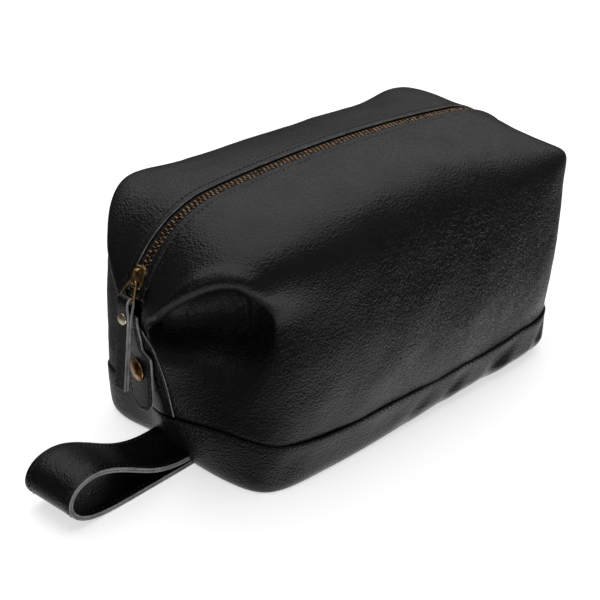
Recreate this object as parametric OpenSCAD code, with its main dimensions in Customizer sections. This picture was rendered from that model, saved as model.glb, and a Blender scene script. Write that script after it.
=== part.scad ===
// Wash bag in black leather with a long zip over its crown, an end tab and rivet at each keel,
// a pull strap on the zip slider, and a wrist strap sewn in at the foot of one end.
// The origin is the middle of the base, +Z is up, and the zip runs along X.
// The wrist strap and the closed slider are at the -X end.

/* [Bag] */
// Length over the two end keels
bag_l = 316; // [300:2:332]
// Width across the two side panels
bag_w = 160; // [152:2:168]
// Height from the floor to the crown of the zip
bag_h = 162; // [158:1:166]

/* [Leather] */
// Thickness of the side panels
panel_t = 1.5; // [1.2:0.1:1.6]
// Thickness of the base panel
base_t = 1.8; // [1.4:0.1:2.0]
// Thickness of the lining
lining_t = 0.6; // [0.4:0.1:0.8]
// Thickness of an end tab
tab_t = 1.6; // [1.2:0.1:1.8]
// Thickness of the layer behind an end tab
underlay_t = 0.9; // [0.8:0.1:1.2]
// Clearance between neighbouring layers
fit_gap = 0.3; // [0.2:0.05:0.4]

/* [Zip] */
// Radius of the long, flat arc over the crown
crown_r = 1000; // [900:50:1200]
// Half-length of that arc, measured along X
crown_half_l = 100; // [96:1:104]
// Radius of the tight arc down each end
end_arc_r = 69.3; // [68:0.1:70]
// Width of the slot between the two panel edges
zip_slot_w = 11; // [10.6:0.1:12]
// Distance from one tooth to the next on the same side
tooth_pitch = 3; // [2.5:0.25:4]
// Width of a tooth across the zip
tooth_w = 2.4; // [2:0.1:2.6]
// Length of a tooth along the zip
tooth_l = 1.5; // [1.2:0.1:1.6]
// Height of a tooth
tooth_h = 2.4; // [2:0.1:2.6]
// Thickness of the tape
tape_t = 0.6; // [0.4:0.1:0.7]
// Depth of the middle of the zip below the outside of the panels
zip_depth = 2.2; // [2.1:0.05:2.4]

/* [Slider and pull] */
// Width of the slider
slider_w = 10; // [9.6:0.1:10.2]
// Length of the slider
slider_l = 13; // [12:0.5:14]
// Heading of the closed slider, from straight up
slider_heading = 61; // [58:1:62]
// Diameter of the ring wire
ring_wire_d = 1.6; // [1.4:0.1:1.8]
// Length of the ring between its two bars
ring_l = 12; // [11:0.5:13]
// Width of the ring between its two side wires
ring_w = 11.2; // [11:0.1:11.6]
// Lean of the ring away from the bag
ring_lean = 30; // [28:1:34]
// Length of the folded pull strap below the ring
pull_l = 55; // [50:1:60]
// Width of the pull strap
pull_w = 8; // [7:0.5:8]
// Thickness of the pull strap, both layers together
pull_t = 3.8; // [3.4:0.1:4.4]

/* [End tabs] */
// Width of the wide end of a tab
tab_w = 24.5; // [22:0.5:25]
// Width of the neck of a tab
tab_neck_w = 12.5; // [11:0.5:13]
// Height of the lower end of a tab
tab_low_z = 40; // [38:0.5:42]
// Height where the neck widens
tab_shoulder_z = 79; // [76:1:82]
// Diameter of a rivet cap
rivet_d = 13; // [11:0.5:13.5]

/* [Wrist strap] */
// Width of the wrist strap
strap_w = 38; // [34:1:40]
// Thickness of one layer of the wrist strap
strap_t = 1.4; // [1.2:0.1:1.5]
// Turn of the strap about the vertical
strap_yaw = 5; // [-6:1:6]

/* [Hidden] */
$fn = 48;

LEATHER = [0.07, 0.07, 0.075];
LINING = [0.16, 0.15, 0.15];
TAPE = [0.05, 0.05, 0.05];
RAW_EDGE = [0.45, 0.44, 0.44];
ANTIQUE_BRASS = [0.42, 0.33, 0.19];
PALE_BRASS = [0.78, 0.68, 0.5];

// ---- Shape of the side panels ----
// Each net is one quarter of the bag. A row is a ring round the bag, from the edge hidden in the
// base up to the zip. In a row, the columns run from the end keel to the middle of the side.
// Each point is [distance from the middle along X, distance along Y, height].
NET_SIZE = [316, 160, 162];
firm_net = [
    [[139, 3, 14], [138, 12, 14], [135, 26, 13], [132, 50, 12],
     [124, 73, 11], [88, 75, 10], [44, 75, 10], [0, 75, 10]],
    [[146, 3, 33], [144.5, 12, 33], [138, 24, 32], [131, 48, 31],
     [123, 73, 29], [88, 76, 24], [44, 76, 21], [0, 76, 21]],
    [[151.5, 3, 60], [150.5, 12, 58], [136, 21, 56], [124, 45, 56],
     [121, 73, 54], [88, 80, 50], [44, 82, 48], [0, 82, 48]],
    [[155, 3, 80], [154, 12, 78], [131, 18, 80], [116, 42, 82],
     [119, 72, 86], [88, 81, 80], [44, 83, 79], [0, 83, 79]],
    [[156, 3, 90], [156, 11, 88], [126, 15, 92], [109, 38, 100],
     [118, 68, 112], [88, 78, 107], [44, 79, 106], [0, 79, 106]],
    [[156, 4, 94], [157, 13, 93], [153, 21, 100], [138, 44, 120],
     [122, 71, 136], [88, 75, 129], [44, 75, 127], [0, 75, 127]],
    [[157, 5, 99], [159, 14, 99], [160, 22, 111], [149, 46, 135],
     [126, 72, 151], [90, 70, 146], [44, 67, 145], [0, 67, 145]],
    [[157, 7, 104], [157, 14, 112], [150, 22, 126], [135, 38, 146],
     [120, 58, 157], [88, 52, 157], [44, 49, 157.5], [0, 49, 158]],
    [[156, 9, 113], [149, 9, 129], [138, 9, 142], [122, 9, 151],
     [100, 9, 156], [70, 9, 159], [35, 9, 161], [0, 9, 162]]
];
// The corner beside the closed slider has slumped: its dent is deeper and its fold softer.
slumped_net = [
    firm_net[0], firm_net[1], firm_net[2],
    [[155, 3, 80], [154, 12, 78], [130, 20, 78], [116, 44, 78],
     [120, 72, 82], [88, 81, 80], [44, 83, 79], [0, 83, 79]],
    [[156, 3, 90], [156, 11, 88], [118, 16, 92], [102, 37, 100],
     [115, 63, 103], [88, 78, 107], [44, 79, 106], [0, 79, 106]],
    [[156, 4, 94], [157, 13, 93], [156, 24, 98], [146, 48, 115],
     [127, 71, 119], [88, 77, 126], [44, 75, 127], [0, 75, 127]],
    [[157, 5, 99], [159, 14, 99], [164, 25, 109], [158, 50, 131],
     [136, 71, 137], [92, 72, 143], [44, 67, 145], [0, 67, 145]],
    [[157, 7, 104], [157, 14, 112], [153, 22, 122], [141, 37, 141],
     [122, 57, 150], [88, 52, 155], [44, 49, 157.5], [0, 49, 158]],
    firm_net[8]
];
// The other near corner stands out further and a little lower.
FULL_CORNER_PUSH = [0, 2, 8, 14, 22, 15, 9, 3, 0];
FULL_CORNER_DROP = [0, 0, 0, 0, 0, 5, 9, 11, 1];
full_net = [for (i = [0:8]) [for (j = [0:7])
    (j >= 2 && j <= 5) ? firm_net[i][j] + [j == 2 ? 0 : FULL_CORNER_PUSH[i], 0, -FULL_CORNER_DROP[i]]
                       : firm_net[i][j]]];
// On the far side the corner above the wrist strap stands up straight, with hardly a dent.
upright_net = [
    [firm_net[0][0], firm_net[0][1], firm_net[0][2], [137, 54, 12],
     [129, 77, 11], [90, 77, 10], firm_net[0][6], firm_net[0][7]],
    [firm_net[1][0], firm_net[1][1], firm_net[1][2], [137, 53, 31],
     [131, 78, 29], [90, 78, 24], firm_net[1][6], firm_net[1][7]],
    [firm_net[2][0], firm_net[2][1], [142, 22, 56], [134, 50, 56],
     [131, 79, 54], firm_net[2][5], firm_net[2][6], firm_net[2][7]],
    [firm_net[3][0], firm_net[3][1], [141, 20, 80], [131, 49, 82],
     [131, 79, 86], firm_net[3][5], firm_net[3][6], firm_net[3][7]],
    [firm_net[4][0], firm_net[4][1], [139, 18, 92], [126, 45, 100],
     [130, 75, 112], firm_net[4][5], firm_net[4][6], firm_net[4][7]],
    [firm_net[5][0], firm_net[5][1], firm_net[5][2], [139, 46, 120],
     [124, 71, 134], firm_net[5][5], firm_net[5][6], firm_net[5][7]],
    [firm_net[6][0], firm_net[6][1], firm_net[6][2], [147, 45, 134],
     [119, 69, 148], [89, 72, 145], [44, 71, 145], [0, 72, 146]],
    [firm_net[7][0], firm_net[7][1], firm_net[7][2], [134, 38, 145],
     [115, 56, 155], [87, 52, 156], [44, 50, 157], [0, 50, 158]],
    firm_net[8]
];
// The corner diagonally opposite the slumped one is pinched to a sharper point.
SHARP_CORNER_PULL = [0, 0, 0, 0, 2, 7, 9, 6, 0];
SHARP_CORNER_LIFT = [0, 0, 0, 0, 0, 1, 3, 2, 0];
sharp_net = [for (i = [0:8]) [for (j = [0:7])
    (j >= 3 && j <= 4) ? firm_net[i][j] + [-SHARP_CORNER_PULL[i], 0, SHARP_CORNER_LIFT[i]]
                       : j >= 6 ? upright_net[i][j] : firm_net[i][j]]];
// The nose at the closed end is turned a little towards the far side.
NOSE_TURN = [0.5, 2, 2, 0, 0, 0, 0, 0];

NET_SCALE = [bag_l / NET_SIZE.x, bag_w / NET_SIZE.y, bag_h / NET_SIZE.z];
LAST_U = 14;
LAST_V = 8;
FLANGE_V = 9;

function turned_net(net, amount) =
    [for (row = net) [for (j = [0:7]) row[j] + [amount * NOSE_TURN[j], 0, 0]]];
function scaled_point(p, x_sign, y_sign) =
    [x_sign * p.x * NET_SCALE.x, y_sign * p.y * NET_SCALE.y, p.z * NET_SCALE.z];
function whole_net(left, right, y_sign) = [for (i = [0:LAST_V]) concat(
    [for (j = [0:7]) scaled_point(left[i][j], -1, y_sign)],
    [for (j = [6:-1:0]) scaled_point(right[i][j], 1, y_sign)])];

NEAR = -1;
FAR = 1;
near_net = whole_net(turned_net(slumped_net, 1), full_net, NEAR);
far_net = whole_net(turned_net(upright_net, -1), sharp_net, FAR);
function net_of(side) = side == NEAR ? near_net : far_net;

// Uniform cubic B-spline, with a straight run-out past each end of the net.
function spline_weights(t) =
    [pow(1 - t, 3), 3 * pow(t, 3) - 6 * t * t + 4, -3 * pow(t, 3) + 3 * t * t + 3 * t + 1, pow(t, 3)] / 6;
function item(list, i) = i < 0 ? 2 * list[0] - list[1]
    : i >= len(list) ? 2 * list[len(list) - 1] - list[len(list) - 2] : list[i];
function spline(list, t) = let (i = min(floor(t), len(list) - 2), w = spline_weights(t - i))
    w[0] * item(list, i - 1) + w[1] * item(list, i) + w[2] * item(list, i + 1) + w[3] * item(list, i + 2);
function net_point(net, u, v) = let (i = min(floor(v), len(net) - 2), w = spline_weights(v - i))
    w[0] * spline(item(net, i - 1), u) + w[1] * spline(item(net, i), u)
    + w[2] * spline(item(net, i + 1), u) + w[3] * spline(item(net, i + 2), u);

// ---- The zip's line: a flat arc over the crown that runs on into a tight arc down each end ----
crown_half = asin(crown_half_l / crown_r);
end_arc_x = (crown_r - end_arc_r) * sin(crown_half);
end_arc_z = bag_h - crown_r + (crown_r - end_arc_r) * cos(crown_half);
ZIP_END = 71;
// A heading is measured from straight up, positive towards +X.
function zip_line(heading, rise) = abs(heading) <= crown_half
    ? [(crown_r + rise) * sin(heading), bag_h - crown_r + (crown_r + rise) * cos(heading)]
    : [sign(heading) * (end_arc_x + (end_arc_r + rise) * sin(abs(heading))),
       end_arc_z + (end_arc_r + rise) * cos(heading)];
function heading_of(x, z) = let (over_crown = atan2(abs(x), z - bag_h + crown_r))
    sign(x) * (over_crown <= crown_half ? over_crown
        : min(atan2(abs(x) - end_arc_x, z - end_arc_z), ZIP_END + 1));
function arc_length(heading) = let (a = abs(heading)) sign(heading) * PI / 180
    * (a <= crown_half ? crown_r * a : crown_r * crown_half + end_arc_r * (a - crown_half));

// ---- Skin: a point on the outside of a side panel ----
EDGE_BLEND = 1.5;
function smooth_step(t) = t <= 0 ? 0 : t >= 1 ? 1 : t * t * (3 - 2 * t);
function on_zip(p, y) = let (q = zip_line(heading_of(p.x, p.z), 0)) [q[0], y, q[1]];
function skin_point(side, u, v) = let (
    net = net_of(side),
    edge = net_point(net, u, LAST_V),
    pull_in = smooth_step((v - LAST_V + EDGE_BLEND) / EDGE_BLEND)
) v <= LAST_V
    ? net_point(net, u, v) + pull_in * (on_zip(edge, edge.y) - edge)
    : on_zip(edge, edge.y + (v - LAST_V) * (side * zip_slot_w / 2 - edge.y));
STEP = 0.02;
function skin_normal(side, u, v) = let (
    along = skin_point(side, min(u + STEP, LAST_U), v) - skin_point(side, max(u - STEP, 0), v),
    up = skin_point(side, u, min(v + STEP, FLANGE_V)) - skin_point(side, u, max(v - STEP, 0)),
    n = cross(along, up)
) -side * n / norm(n);
function skin(side, u, v, d) = skin_point(side, u, v) + (d == 0 ? [0, 0, 0] : d * skin_normal(side, u, v));

// ---- Solids from grids of points ----
function flat_list(grid) = [for (row = grid) for (p = row) p];
function turned(faces, reverse) = reverse ? [for (f = faces) [f[2], f[1], f[0]]] : faces;

// A curved sheet between two grids. Seen from outside, columns run right and rows run up.
module sheet(outer, inner, reverse = false) {
    rows = len(outer);
    cols = len(outer[0]);
    back = rows * cols;
    outside = [for (i = [0:rows - 2]) for (j = [0:cols - 2]) let (a = i * cols + j)
        each [[a, a + cols, a + cols + 1], [a, a + cols + 1, a + 1]]];
    inside = [for (f = outside) [f[2] + back, f[1] + back, f[0] + back]];
    rim = concat(
        [for (j = [0:cols - 2]) j],
        [for (i = [0:rows - 2]) i * cols + cols - 1],
        [for (j = [cols - 1:-1:1]) (rows - 1) * cols + j],
        [for (i = [rows - 1:-1:1]) i * cols]);
    edges = [for (k = [0:len(rim) - 1]) let (p = rim[k], q = rim[(k + 1) % len(rim)])
        each [[p, q, q + back], [p, q + back, p + back]]];
    polyhedron(concat(flat_list(outer), flat_list(inner)), turned(concat(outside, inside, edges), reverse));
}

// An open cup between two stacks of closed rings, listed from the rim down to a flat floor.
module cup(outer, inner) {
    rows = len(outer);
    cols = len(outer[0]);
    back = rows * cols;
    outside = [for (i = [0:rows - 2]) for (j = [0:cols - 1])
        let (a = i * cols + j, b = i * cols + (j + 1) % cols)
        each [[a, b, b + cols], [a, b + cols, a + cols]]];
    inside = [for (f = outside) [f[2] + back, f[1] + back, f[0] + back]];
    rim = [for (j = [0:cols - 1]) let (k = (j + 1) % cols)
        each [[j, j + back, k + back], [j, k + back, k]]];
    bottom = (rows - 1) * cols;
    floors = [[for (j = [0:cols - 1]) bottom + j], [for (j = [cols - 1:-1:0]) bottom + back + j]];
    polyhedron(concat(flat_list(outer), flat_list(inner)), concat(outside, inside, rim, floors));
}

// ---- Side panels and lining ----
PANEL_U_STEP = 0.25;
PANEL_V = [0, 0.5, 1, 1.5, 2, 2.5, 3, 3.4, 3.8, 4.2, 4.6, 5, 5.4, 5.8, 6.2, 6.6, 7, 7.4, 7.7, 8, 9];
function skin_grid(side, us, vs, d) = [for (v = vs) [for (u = us) skin(side, u, v, d)]];

module side_panel(side) {
    us = [0:PANEL_U_STEP:LAST_U];
    color(LEATHER)
        sheet(skin_grid(side, us, PANEL_V, 0), skin_grid(side, us, PANEL_V, -panel_t), side == FAR);
}
module front_panel() { side_panel(NEAR); }
module rear_panel() { side_panel(FAR); }

LINING_END_U = 1;
LINING_V = [0.5, 1.5, 2.5, 3.4, 3.8, 4.2, 4.6, 5, 5.4, 5.8, 6.2, 6.6, 7.4];
LINING_GAP = 0.9;
module side_lining(side) {
    us = [LINING_END_U:PANEL_U_STEP:LAST_U - LINING_END_U];
    depth = panel_t + LINING_GAP;
    color(LINING)
        sheet(skin_grid(side, us, LINING_V, -depth), skin_grid(side, us, LINING_V, -depth - lining_t),
            side == FAR);
}
module front_lining() { side_lining(NEAR); }
module rear_lining() { side_lining(FAR); }

// ---- Base ----
SEAM_V = [1, 0.66, 0.33, 0];
FLOOR_TURN = [0.5, 0.85, 1];
FLOOR_ROUND = 2.5;
// Below the hidden edge of the side panels the base carries on straight and then turns under. On the
// near side it turns under further towards the far end.
TUCK = 7;
TUCK_FROM_U = 5.5;
TUCK_FULL_U = 8.5;
function tuck(side, u) = side == FAR ? 0
    : TUCK * smooth_step((u - TUCK_FROM_U) / (TUCK_FULL_U - TUCK_FROM_U)) * smooth_step((LAST_U - u) / 2.5);
function below_skin(side, u, s, d, floor_z) = let (
    p = skin(side, u, 0, d),
    t = skin(side, u, STEP, d) - p,
    n = skin_normal(side, u, 0),
    drop = (p.z - floor_z) * s
) [p.x - t.x / t.z * drop, p.y - t.y / t.z * drop, p.z - drop]
    - (FLOOR_ROUND * pow(s, 4) + tuck(side, u) * pow(s, 1.5)) * [n.x, n.y, 0] / norm([n.x, n.y]);
function base_ring(v, s, d, floor_z) = [for (side = [NEAR, FAR])
    for (k = [0:PANEL_U_STEP:LAST_U]) let (u = side == NEAR ? k : LAST_U - k)
    s == 0 ? skin(side, u, v, d) : below_skin(side, u, s, d, floor_z)];
function base_rings(d, floor_z) = concat(
    [for (v = SEAM_V) base_ring(v, 0, d, floor_z)],
    [for (s = FLOOR_TURN) base_ring(0, s, d, floor_z)]);

module base_panel() {
    color(LEATHER)
        cup(base_rings(fit_gap + base_t, 0), base_rings(fit_gap, base_t));
}

BOARD_INSET = [16, 14];
BOARD_CORNER_R = 22;
module floor_layer(z, t) {
    half = [137 * NET_SCALE.x, 70 * NET_SCALE.y] - BOARD_INSET;
    translate([0, 0, z])
        linear_extrude(t)
            polygon([for (corner = [0:3]) for (step = [0:6])
                let (a = corner * 90 + step * 15,
                     sx = (corner == 0 || corner == 3) ? 1 : -1,
                     sy = corner < 2 ? 1 : -1)
                [sx * (half.x - BOARD_CORNER_R) + BOARD_CORNER_R * cos(a),
                 sy * (half.y - BOARD_CORNER_R) + BOARD_CORNER_R * sin(a)]]);
}
LAYER_GAP = 0.1;
BOARD_T = 1;
module base_board() {
    color("dimgray")
        floor_layer(base_t + LAYER_GAP, BOARD_T);
}
module base_lining() {
    color(LINING)
        floor_layer(base_t + BOARD_T + 2 * LAYER_GAP, lining_t);
}

// ---- Zip ----
TAPE_IN_Y = 3.1;
TAPE_OUT_Y = 7.4;
TAPE_STEPS = 72;
function tape_row(side, y, rise) = [for (k = [0:TAPE_STEPS])
    let (run = arc_length(ZIP_END) * (2 * k / TAPE_STEPS - 1), q = zip_line(heading_at_run(run), rise))
    [q[0], side * y, q[1]]];
function heading_at_run(run) = let (crown_run = arc_length(crown_half), a = abs(run))
    sign(run) * (a <= crown_run ? a / crown_r : crown_half * PI / 180 + (a - crown_run) / end_arc_r) * 180 / PI;
module zip_tape(side) {
    top = -zip_depth + tape_t / 2;
    color(TAPE)
        sheet([for (y = [TAPE_OUT_Y, TAPE_IN_Y]) tape_row(side, y, top)],
            [for (y = [TAPE_OUT_Y, TAPE_IN_Y]) tape_row(side, y, top - tape_t)], side == FAR);
}
module zip_tape_front() { zip_tape(NEAR); }
module zip_tape_rear() { zip_tape(FAR); }

// Places its children on the middle of the zip. There +Z points out of the bag, and +X points
// down towards the closed end on the left and towards the far end on the right.
module on_zip_line(heading) {
    q = zip_line(heading, -zip_depth);
    translate([q[0], 0, q[1]])
        rotate([0, heading, 0])
            rotate([0, 0, heading < 0 ? 180 : 0])
                children();
}

TOOTH_GAP = 1.2;
TEETH_RUN = arc_length(ZIP_END) - 11;
module zip_teeth(side) {
    shift = side == NEAR ? 0 : tooth_pitch / 2;
    count = floor(2 * (TEETH_RUN - shift) / tooth_pitch);
    color(ANTIQUE_BRASS)
        for (k = [0:count]) {
            q = zip_line(heading_at_run(-TEETH_RUN + shift + k * tooth_pitch), -zip_depth);
            translate([q[0], side * (TOOTH_GAP + tooth_w) / 2, q[1]])
                rotate([0, heading_at_run(-TEETH_RUN + shift + k * tooth_pitch), 0])
                    cube([tooth_l, tooth_w, tooth_h], center = true);
        }
}
module zip_teeth_front() { zip_teeth(NEAR); }
module zip_teeth_rear() { zip_teeth(FAR); }

STOP_HEADING = 69.5;
STOP_L = 2.6;
module zip_top_stops() {
    color(ANTIQUE_BRASS)
        on_zip_line(-STOP_HEADING)
            for (side = [NEAR, FAR])
                translate([0, side * (TOOTH_GAP + tooth_w) / 2, 0])
                    cube([STOP_L, tooth_w, tooth_h], center = true);
}
module zip_bottom_stop() {
    color(ANTIQUE_BRASS)
        on_zip_line(STOP_HEADING)
            cube([STOP_L + 2, 2 * TAPE_IN_Y - 0.2, tooth_h], center = true);
}

// ---- Slider ----
PLATE_T = 1.2;
PLATE_CLEARANCE = 0.5;
FLANGE_W = 0.8;
FLANGE_DROP = 1;
POST_W = 0.9;
plate_low = tooth_h / 2 + PLATE_CLEARANCE;
// One plate of the slider: wide at the mouth, narrow at the tail, with round corners.
module slider_plate(z) {
    corner_r = 2;
    half_l = slider_l / 2;
    translate([0, 0, z])
        linear_extrude(PLATE_T)
            union() {
                square([slider_l, slider_w - 2 * corner_r], center = true);
                square([slider_l - 2 * corner_r, slider_w], center = true);
                for (sx = [-1, 1])
                    for (sy = [-1, 1])
                        translate([sx * (half_l - corner_r), sy * (slider_w / 2 - corner_r)])
                            circle(corner_r);
            }
}
module slider_flanges(z) {
    for (side = [NEAR, FAR])
        translate([0, side * (slider_w - FLANGE_W) / 2, z])
            cube([slider_l - 4, FLANGE_W, FLANGE_DROP + 0.2], center = true);
}
module slider_body() {
    color(ANTIQUE_BRASS)
        on_zip_line(-slider_heading)
            union() {
                slider_plate(plate_low);
                slider_plate(-plate_low - 0.3 - PLATE_T);
                slider_flanges(plate_low - FLANGE_DROP / 2 + 0.1);
                slider_flanges(-plate_low - 0.3 + FLANGE_DROP / 2 - 0.1);
                translate([-slider_l / 2 + 2, 0, -plate_low - 0.5])
                    cylinder(h = 2 * plate_low + 0.7, d = POST_W);
            }
}

// ---- Bridge over the slider, which holds the ring ----
BRIDGE_W = 2.6;
BRIDGE_H = 3.6;
BRIDGE_L = 9;
BRIDGE_WALL = 1;
RING_CLEARANCE = 0.1;
ring_pin_x = 2.4;
bridge_base = plate_low + PLATE_T;
ring_pin_z = bridge_base + BRIDGE_H - BRIDGE_WALL - ring_wire_d / 2 - RING_CLEARANCE;
module slider_bridge() {
    color(ANTIQUE_BRASS)
        on_zip_line(-slider_heading)
            difference() {
                union() {
                    translate([-BRIDGE_L / 2 + 1.5, -BRIDGE_W / 2, bridge_base])
                        cube([BRIDGE_L - 3, BRIDGE_W, BRIDGE_H]);
                    translate([-BRIDGE_L / 2, -BRIDGE_W / 2, bridge_base])
                        cube([BRIDGE_L, BRIDGE_W, BRIDGE_H - 1.5]);
                    for (sx = [-1, 1])
                        translate([sx * (BRIDGE_L / 2 - 1.5), 0, bridge_base + BRIDGE_H - 1.5])
                            rotate([90, 0, 0])
                                cylinder(h = BRIDGE_W, r = 1.5, center = true);
                }
                translate([ring_pin_x, 0, ring_pin_z])
                    rotate([90, 0, 0])
                        cylinder(h = BRIDGE_W + 2, d = ring_wire_d + 2 * RING_CLEARANCE, center = true);
            }
}

// ---- Ring and pull strap ----
slider_middle = zip_line(-slider_heading, -zip_depth);
ring_pin = [
    slider_middle[0] - ring_pin_x * cos(slider_heading) - ring_pin_z * sin(slider_heading), 0,
    slider_middle[1] - ring_pin_x * sin(slider_heading) + ring_pin_z * cos(slider_heading)];
pull_pin = ring_pin + ring_l * [-sin(ring_lean), 0, -cos(ring_lean)];
RING_CORNER_R = 2.4;
module pull_ring() {
    side_run = ring_l - 2 * RING_CORNER_R;
    bar_run = ring_w - 2 * RING_CORNER_R;
    color(ANTIQUE_BRASS)
        translate(ring_pin)
            rotate([0, ring_lean, 0])
                translate([0, 0, -ring_l / 2])
                    rotate([0, 90, 0])
                        union() {
                            for (s = [-1, 1]) {
                                translate([s * ring_l / 2, 0, 0])
                                    rotate([90, 0, 0])
                                        cylinder(h = bar_run, d = ring_wire_d, center = true);
                                translate([0, s * ring_w / 2, 0])
                                    rotate([0, 90, 0])
                                        cylinder(h = side_run, d = ring_wire_d, center = true);
                            }
                            for (corner = [0:3])
                                translate([(corner == 0 || corner == 3 ? 1 : -1) * side_run / 2,
                                           (corner < 2 ? 1 : -1) * bar_run / 2, 0])
                                    rotate([0, 0, corner * 90])
                                        rotate_extrude(angle = 90)
                                            translate([RING_CORNER_R, 0])
                                                circle(d = ring_wire_d);
                        }
}

PULL_LEAN_OUT = 4;
PULL_LEAN_SIDE = 4;
PULL_TURN = 5;
PULL_BORE_R = 1.5;
PULL_FOLD_R = 3;
PULL_RIVET_DROP = 10;
PULL_RIVET_SHANK_R = 1.2;
module on_pull_pin() {
    translate(pull_pin)
        rotate([PULL_LEAN_SIDE, PULL_LEAN_OUT, PULL_TURN])
            children();
}
module pull_strap() {
    color(RAW_EDGE)
        on_pull_pin()
            difference() {
                rotate([90, 0, 0])
                    union() {
                        cylinder(h = pull_w, r = PULL_FOLD_R, center = true);
                        translate([-pull_t / 2, -pull_l, -pull_w / 2])
                            cube([pull_t, pull_l, pull_w]);
                    }
                rotate([90, 0, 0])
                    cylinder(h = pull_w + 2, r = PULL_BORE_R, center = true);
                translate([0, 0, -PULL_RIVET_DROP])
                    rotate([0, 90, 0])
                        cylinder(h = pull_t + 2, r = PULL_RIVET_SHANK_R + 0.05, center = true);
            }
}

// A domed cap with its shank, standing on the plane z = 0 and pointing up.
module domed_cap(d, h, shank_r, shank_l) {
    rotate_extrude()
        polygon(concat(
            [[0, -shank_l], [shank_r, -shank_l], [shank_r, 0], [d / 2, 0]],
            [for (k = [0:5]) [d / 2 * cos(k * 18), h * (0.35 + 0.65 * sin(k * 18))]]));
}
PULL_RIVET_D = 7;
module pull_rivet() {
    color(PALE_BRASS)
        on_pull_pin()
            translate([-pull_t / 2 - 0.05, 0, -PULL_RIVET_DROP])
                rotate([0, -90, 0])
                    domed_cap(PULL_RIVET_D, 1.5, PULL_RIVET_SHANK_R, pull_t);
}

// ---- End tabs and what lies behind them ----
LEFT = -1;
RIGHT = 1;
function u_for_width(side, end, v, y, low, high, left_over) = let (
    middle = (low + high) / 2,
    u = end == LEFT ? middle : LAST_U - middle,
    wide = abs(skin_point(side, u, v).y)
) left_over == 0 ? u : wide > y
    ? u_for_width(side, end, v, y, low, middle, left_over - 1)
    : u_for_width(side, end, v, y, middle, high, left_over - 1);
// A point on the nose of one end, at height row v and distance y from the keel, d above the skin.
function nose(end, y, v, d) = let (
    end_u = end == LEFT ? 0 : LAST_U,
    keel_y = abs(skin_point(NEAR, end_u, v).y),
    side = y < 0 ? NEAR : FAR,
    share = (y + keel_y) / (2 * keel_y)
) abs(y) < keel_y
    ? (1 - share) * skin(NEAR, end_u, v, d) + share * skin(FAR, end_u, v, d)
    : skin(side, u_for_width(side, end, v, abs(y), 0, 3, 10), v, d);
function row_height(end, v) = skin_point(NEAR, end == LEFT ? 0 : LAST_U, v).z;

NOSE_COLS = [for (k = [-5:5]) k / 5];
UNDERLAY_V = [1.12, 1.35, 1.6, 1.85, 2.1, 2.5, 2.8, 3.1, 3.6, 4.2, 4.8];
UNDERLAY_TOP_V = 4.8;
UNDERLAY_LOW_W = 29;
UNDERLAY_TOP_W = 15;
underlay_depth = 0.6;
function underlay_half(v) = let (t = (v - UNDERLAY_V[0]) / (UNDERLAY_TOP_V - UNDERLAY_V[0]))
    (UNDERLAY_LOW_W + (UNDERLAY_TOP_W - UNDERLAY_LOW_W) * smooth_step(t)) / 2;
function nose_grid(end, rows, d) = [for (r = rows) [for (c = NOSE_COLS) nose(end, c * r[1], r[0], d)]];
RIVET_V = 2.33;
RIVET_SHANK_R = 1.9;
// The wide part of a tab is stiff: it is turned a little to the far side, hardly follows the nose
// round, and hangs straight down from just above the rivet.
STIFF_V = 2.75;
FRONT_Y = 9;
TAB_WRAP = 0.006;
TAB_TILT = 0.1;
function tab_bend(y) = TAB_WRAP * y * y + TAB_TILT * y;
function front(end, v) = max([for (y = [-FRONT_Y, -FRONT_Y / 2, 0, FRONT_Y / 2, FRONT_Y])
    end * nose(end, y, max(v, STIFF_V), 0).x + tab_bend(y)]);
function stiff_tab(end, y, v, d) = [end * (front(end, v) + d - tab_bend(y)), y, row_height(end, v)];
module on_rivet(end) {
    translate(stiff_tab(end, 0, RIVET_V, 0))
        rotate([0, 0, end * atan(TAB_TILT)])
            rotate([0, end * 90, 0])
                children();
}
module rivet_hole(end) {
    on_rivet(end)
        cylinder(h = 20, r = RIVET_SHANK_R + 0.05, center = true);
}
module end_underlay(end) {
    rows = [for (v = UNDERLAY_V) [v, underlay_half(v)]];
    color(LEATHER)
        difference() {
            sheet(nose_grid(end, rows, underlay_depth + underlay_t), nose_grid(end, rows, underlay_depth),
                end == LEFT);
            rivet_hole(end);
        }
}
module left_end_underlay() { end_underlay(LEFT); }
module right_end_underlay() { end_underlay(RIGHT); }

TAB_V = [1.24, 1.26, 1.3, 1.38, 1.5, 1.72, 2.1, 2.5, 2.8, 2.95, 3.1, 3.3, 3.6, 4.2, 4.8, 5.4, 6, 6.4];
TAB_SHOULDER = 3;
tab_depth = underlay_depth + underlay_t + 0.55;
function tab_half(z) = let (r = tab_w / 2, below = tab_low_z + r - z)
    below > 0 ? sqrt(max(r * r - below * below, 2))
    : tab_neck_w / 2 + (tab_w - tab_neck_w) / 2 * (1 - smooth_step((z - tab_shoulder_z) / TAB_SHOULDER + 0.5));
// The neck of the tab lies on the nose.
function tab_row(end, v, d) = let (
    half = tab_half(row_height(end, v)),
    on_nose = smooth_step((v - 3.2) / 1.2)
) [for (c = NOSE_COLS) (1 - on_nose) * stiff_tab(end, c * half, v, d) + on_nose * nose(end, c * half, v, d)];
module end_tab(end) {
    color(LEATHER)
        difference() {
            sheet([for (v = TAB_V) tab_row(end, v, tab_depth + tab_t)],
                [for (v = TAB_V) tab_row(end, v, tab_depth)], end == LEFT);
            rivet_hole(end);
        }
}
module left_end_tab() { end_tab(LEFT); }
module right_end_tab() { end_tab(RIGHT); }

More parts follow.
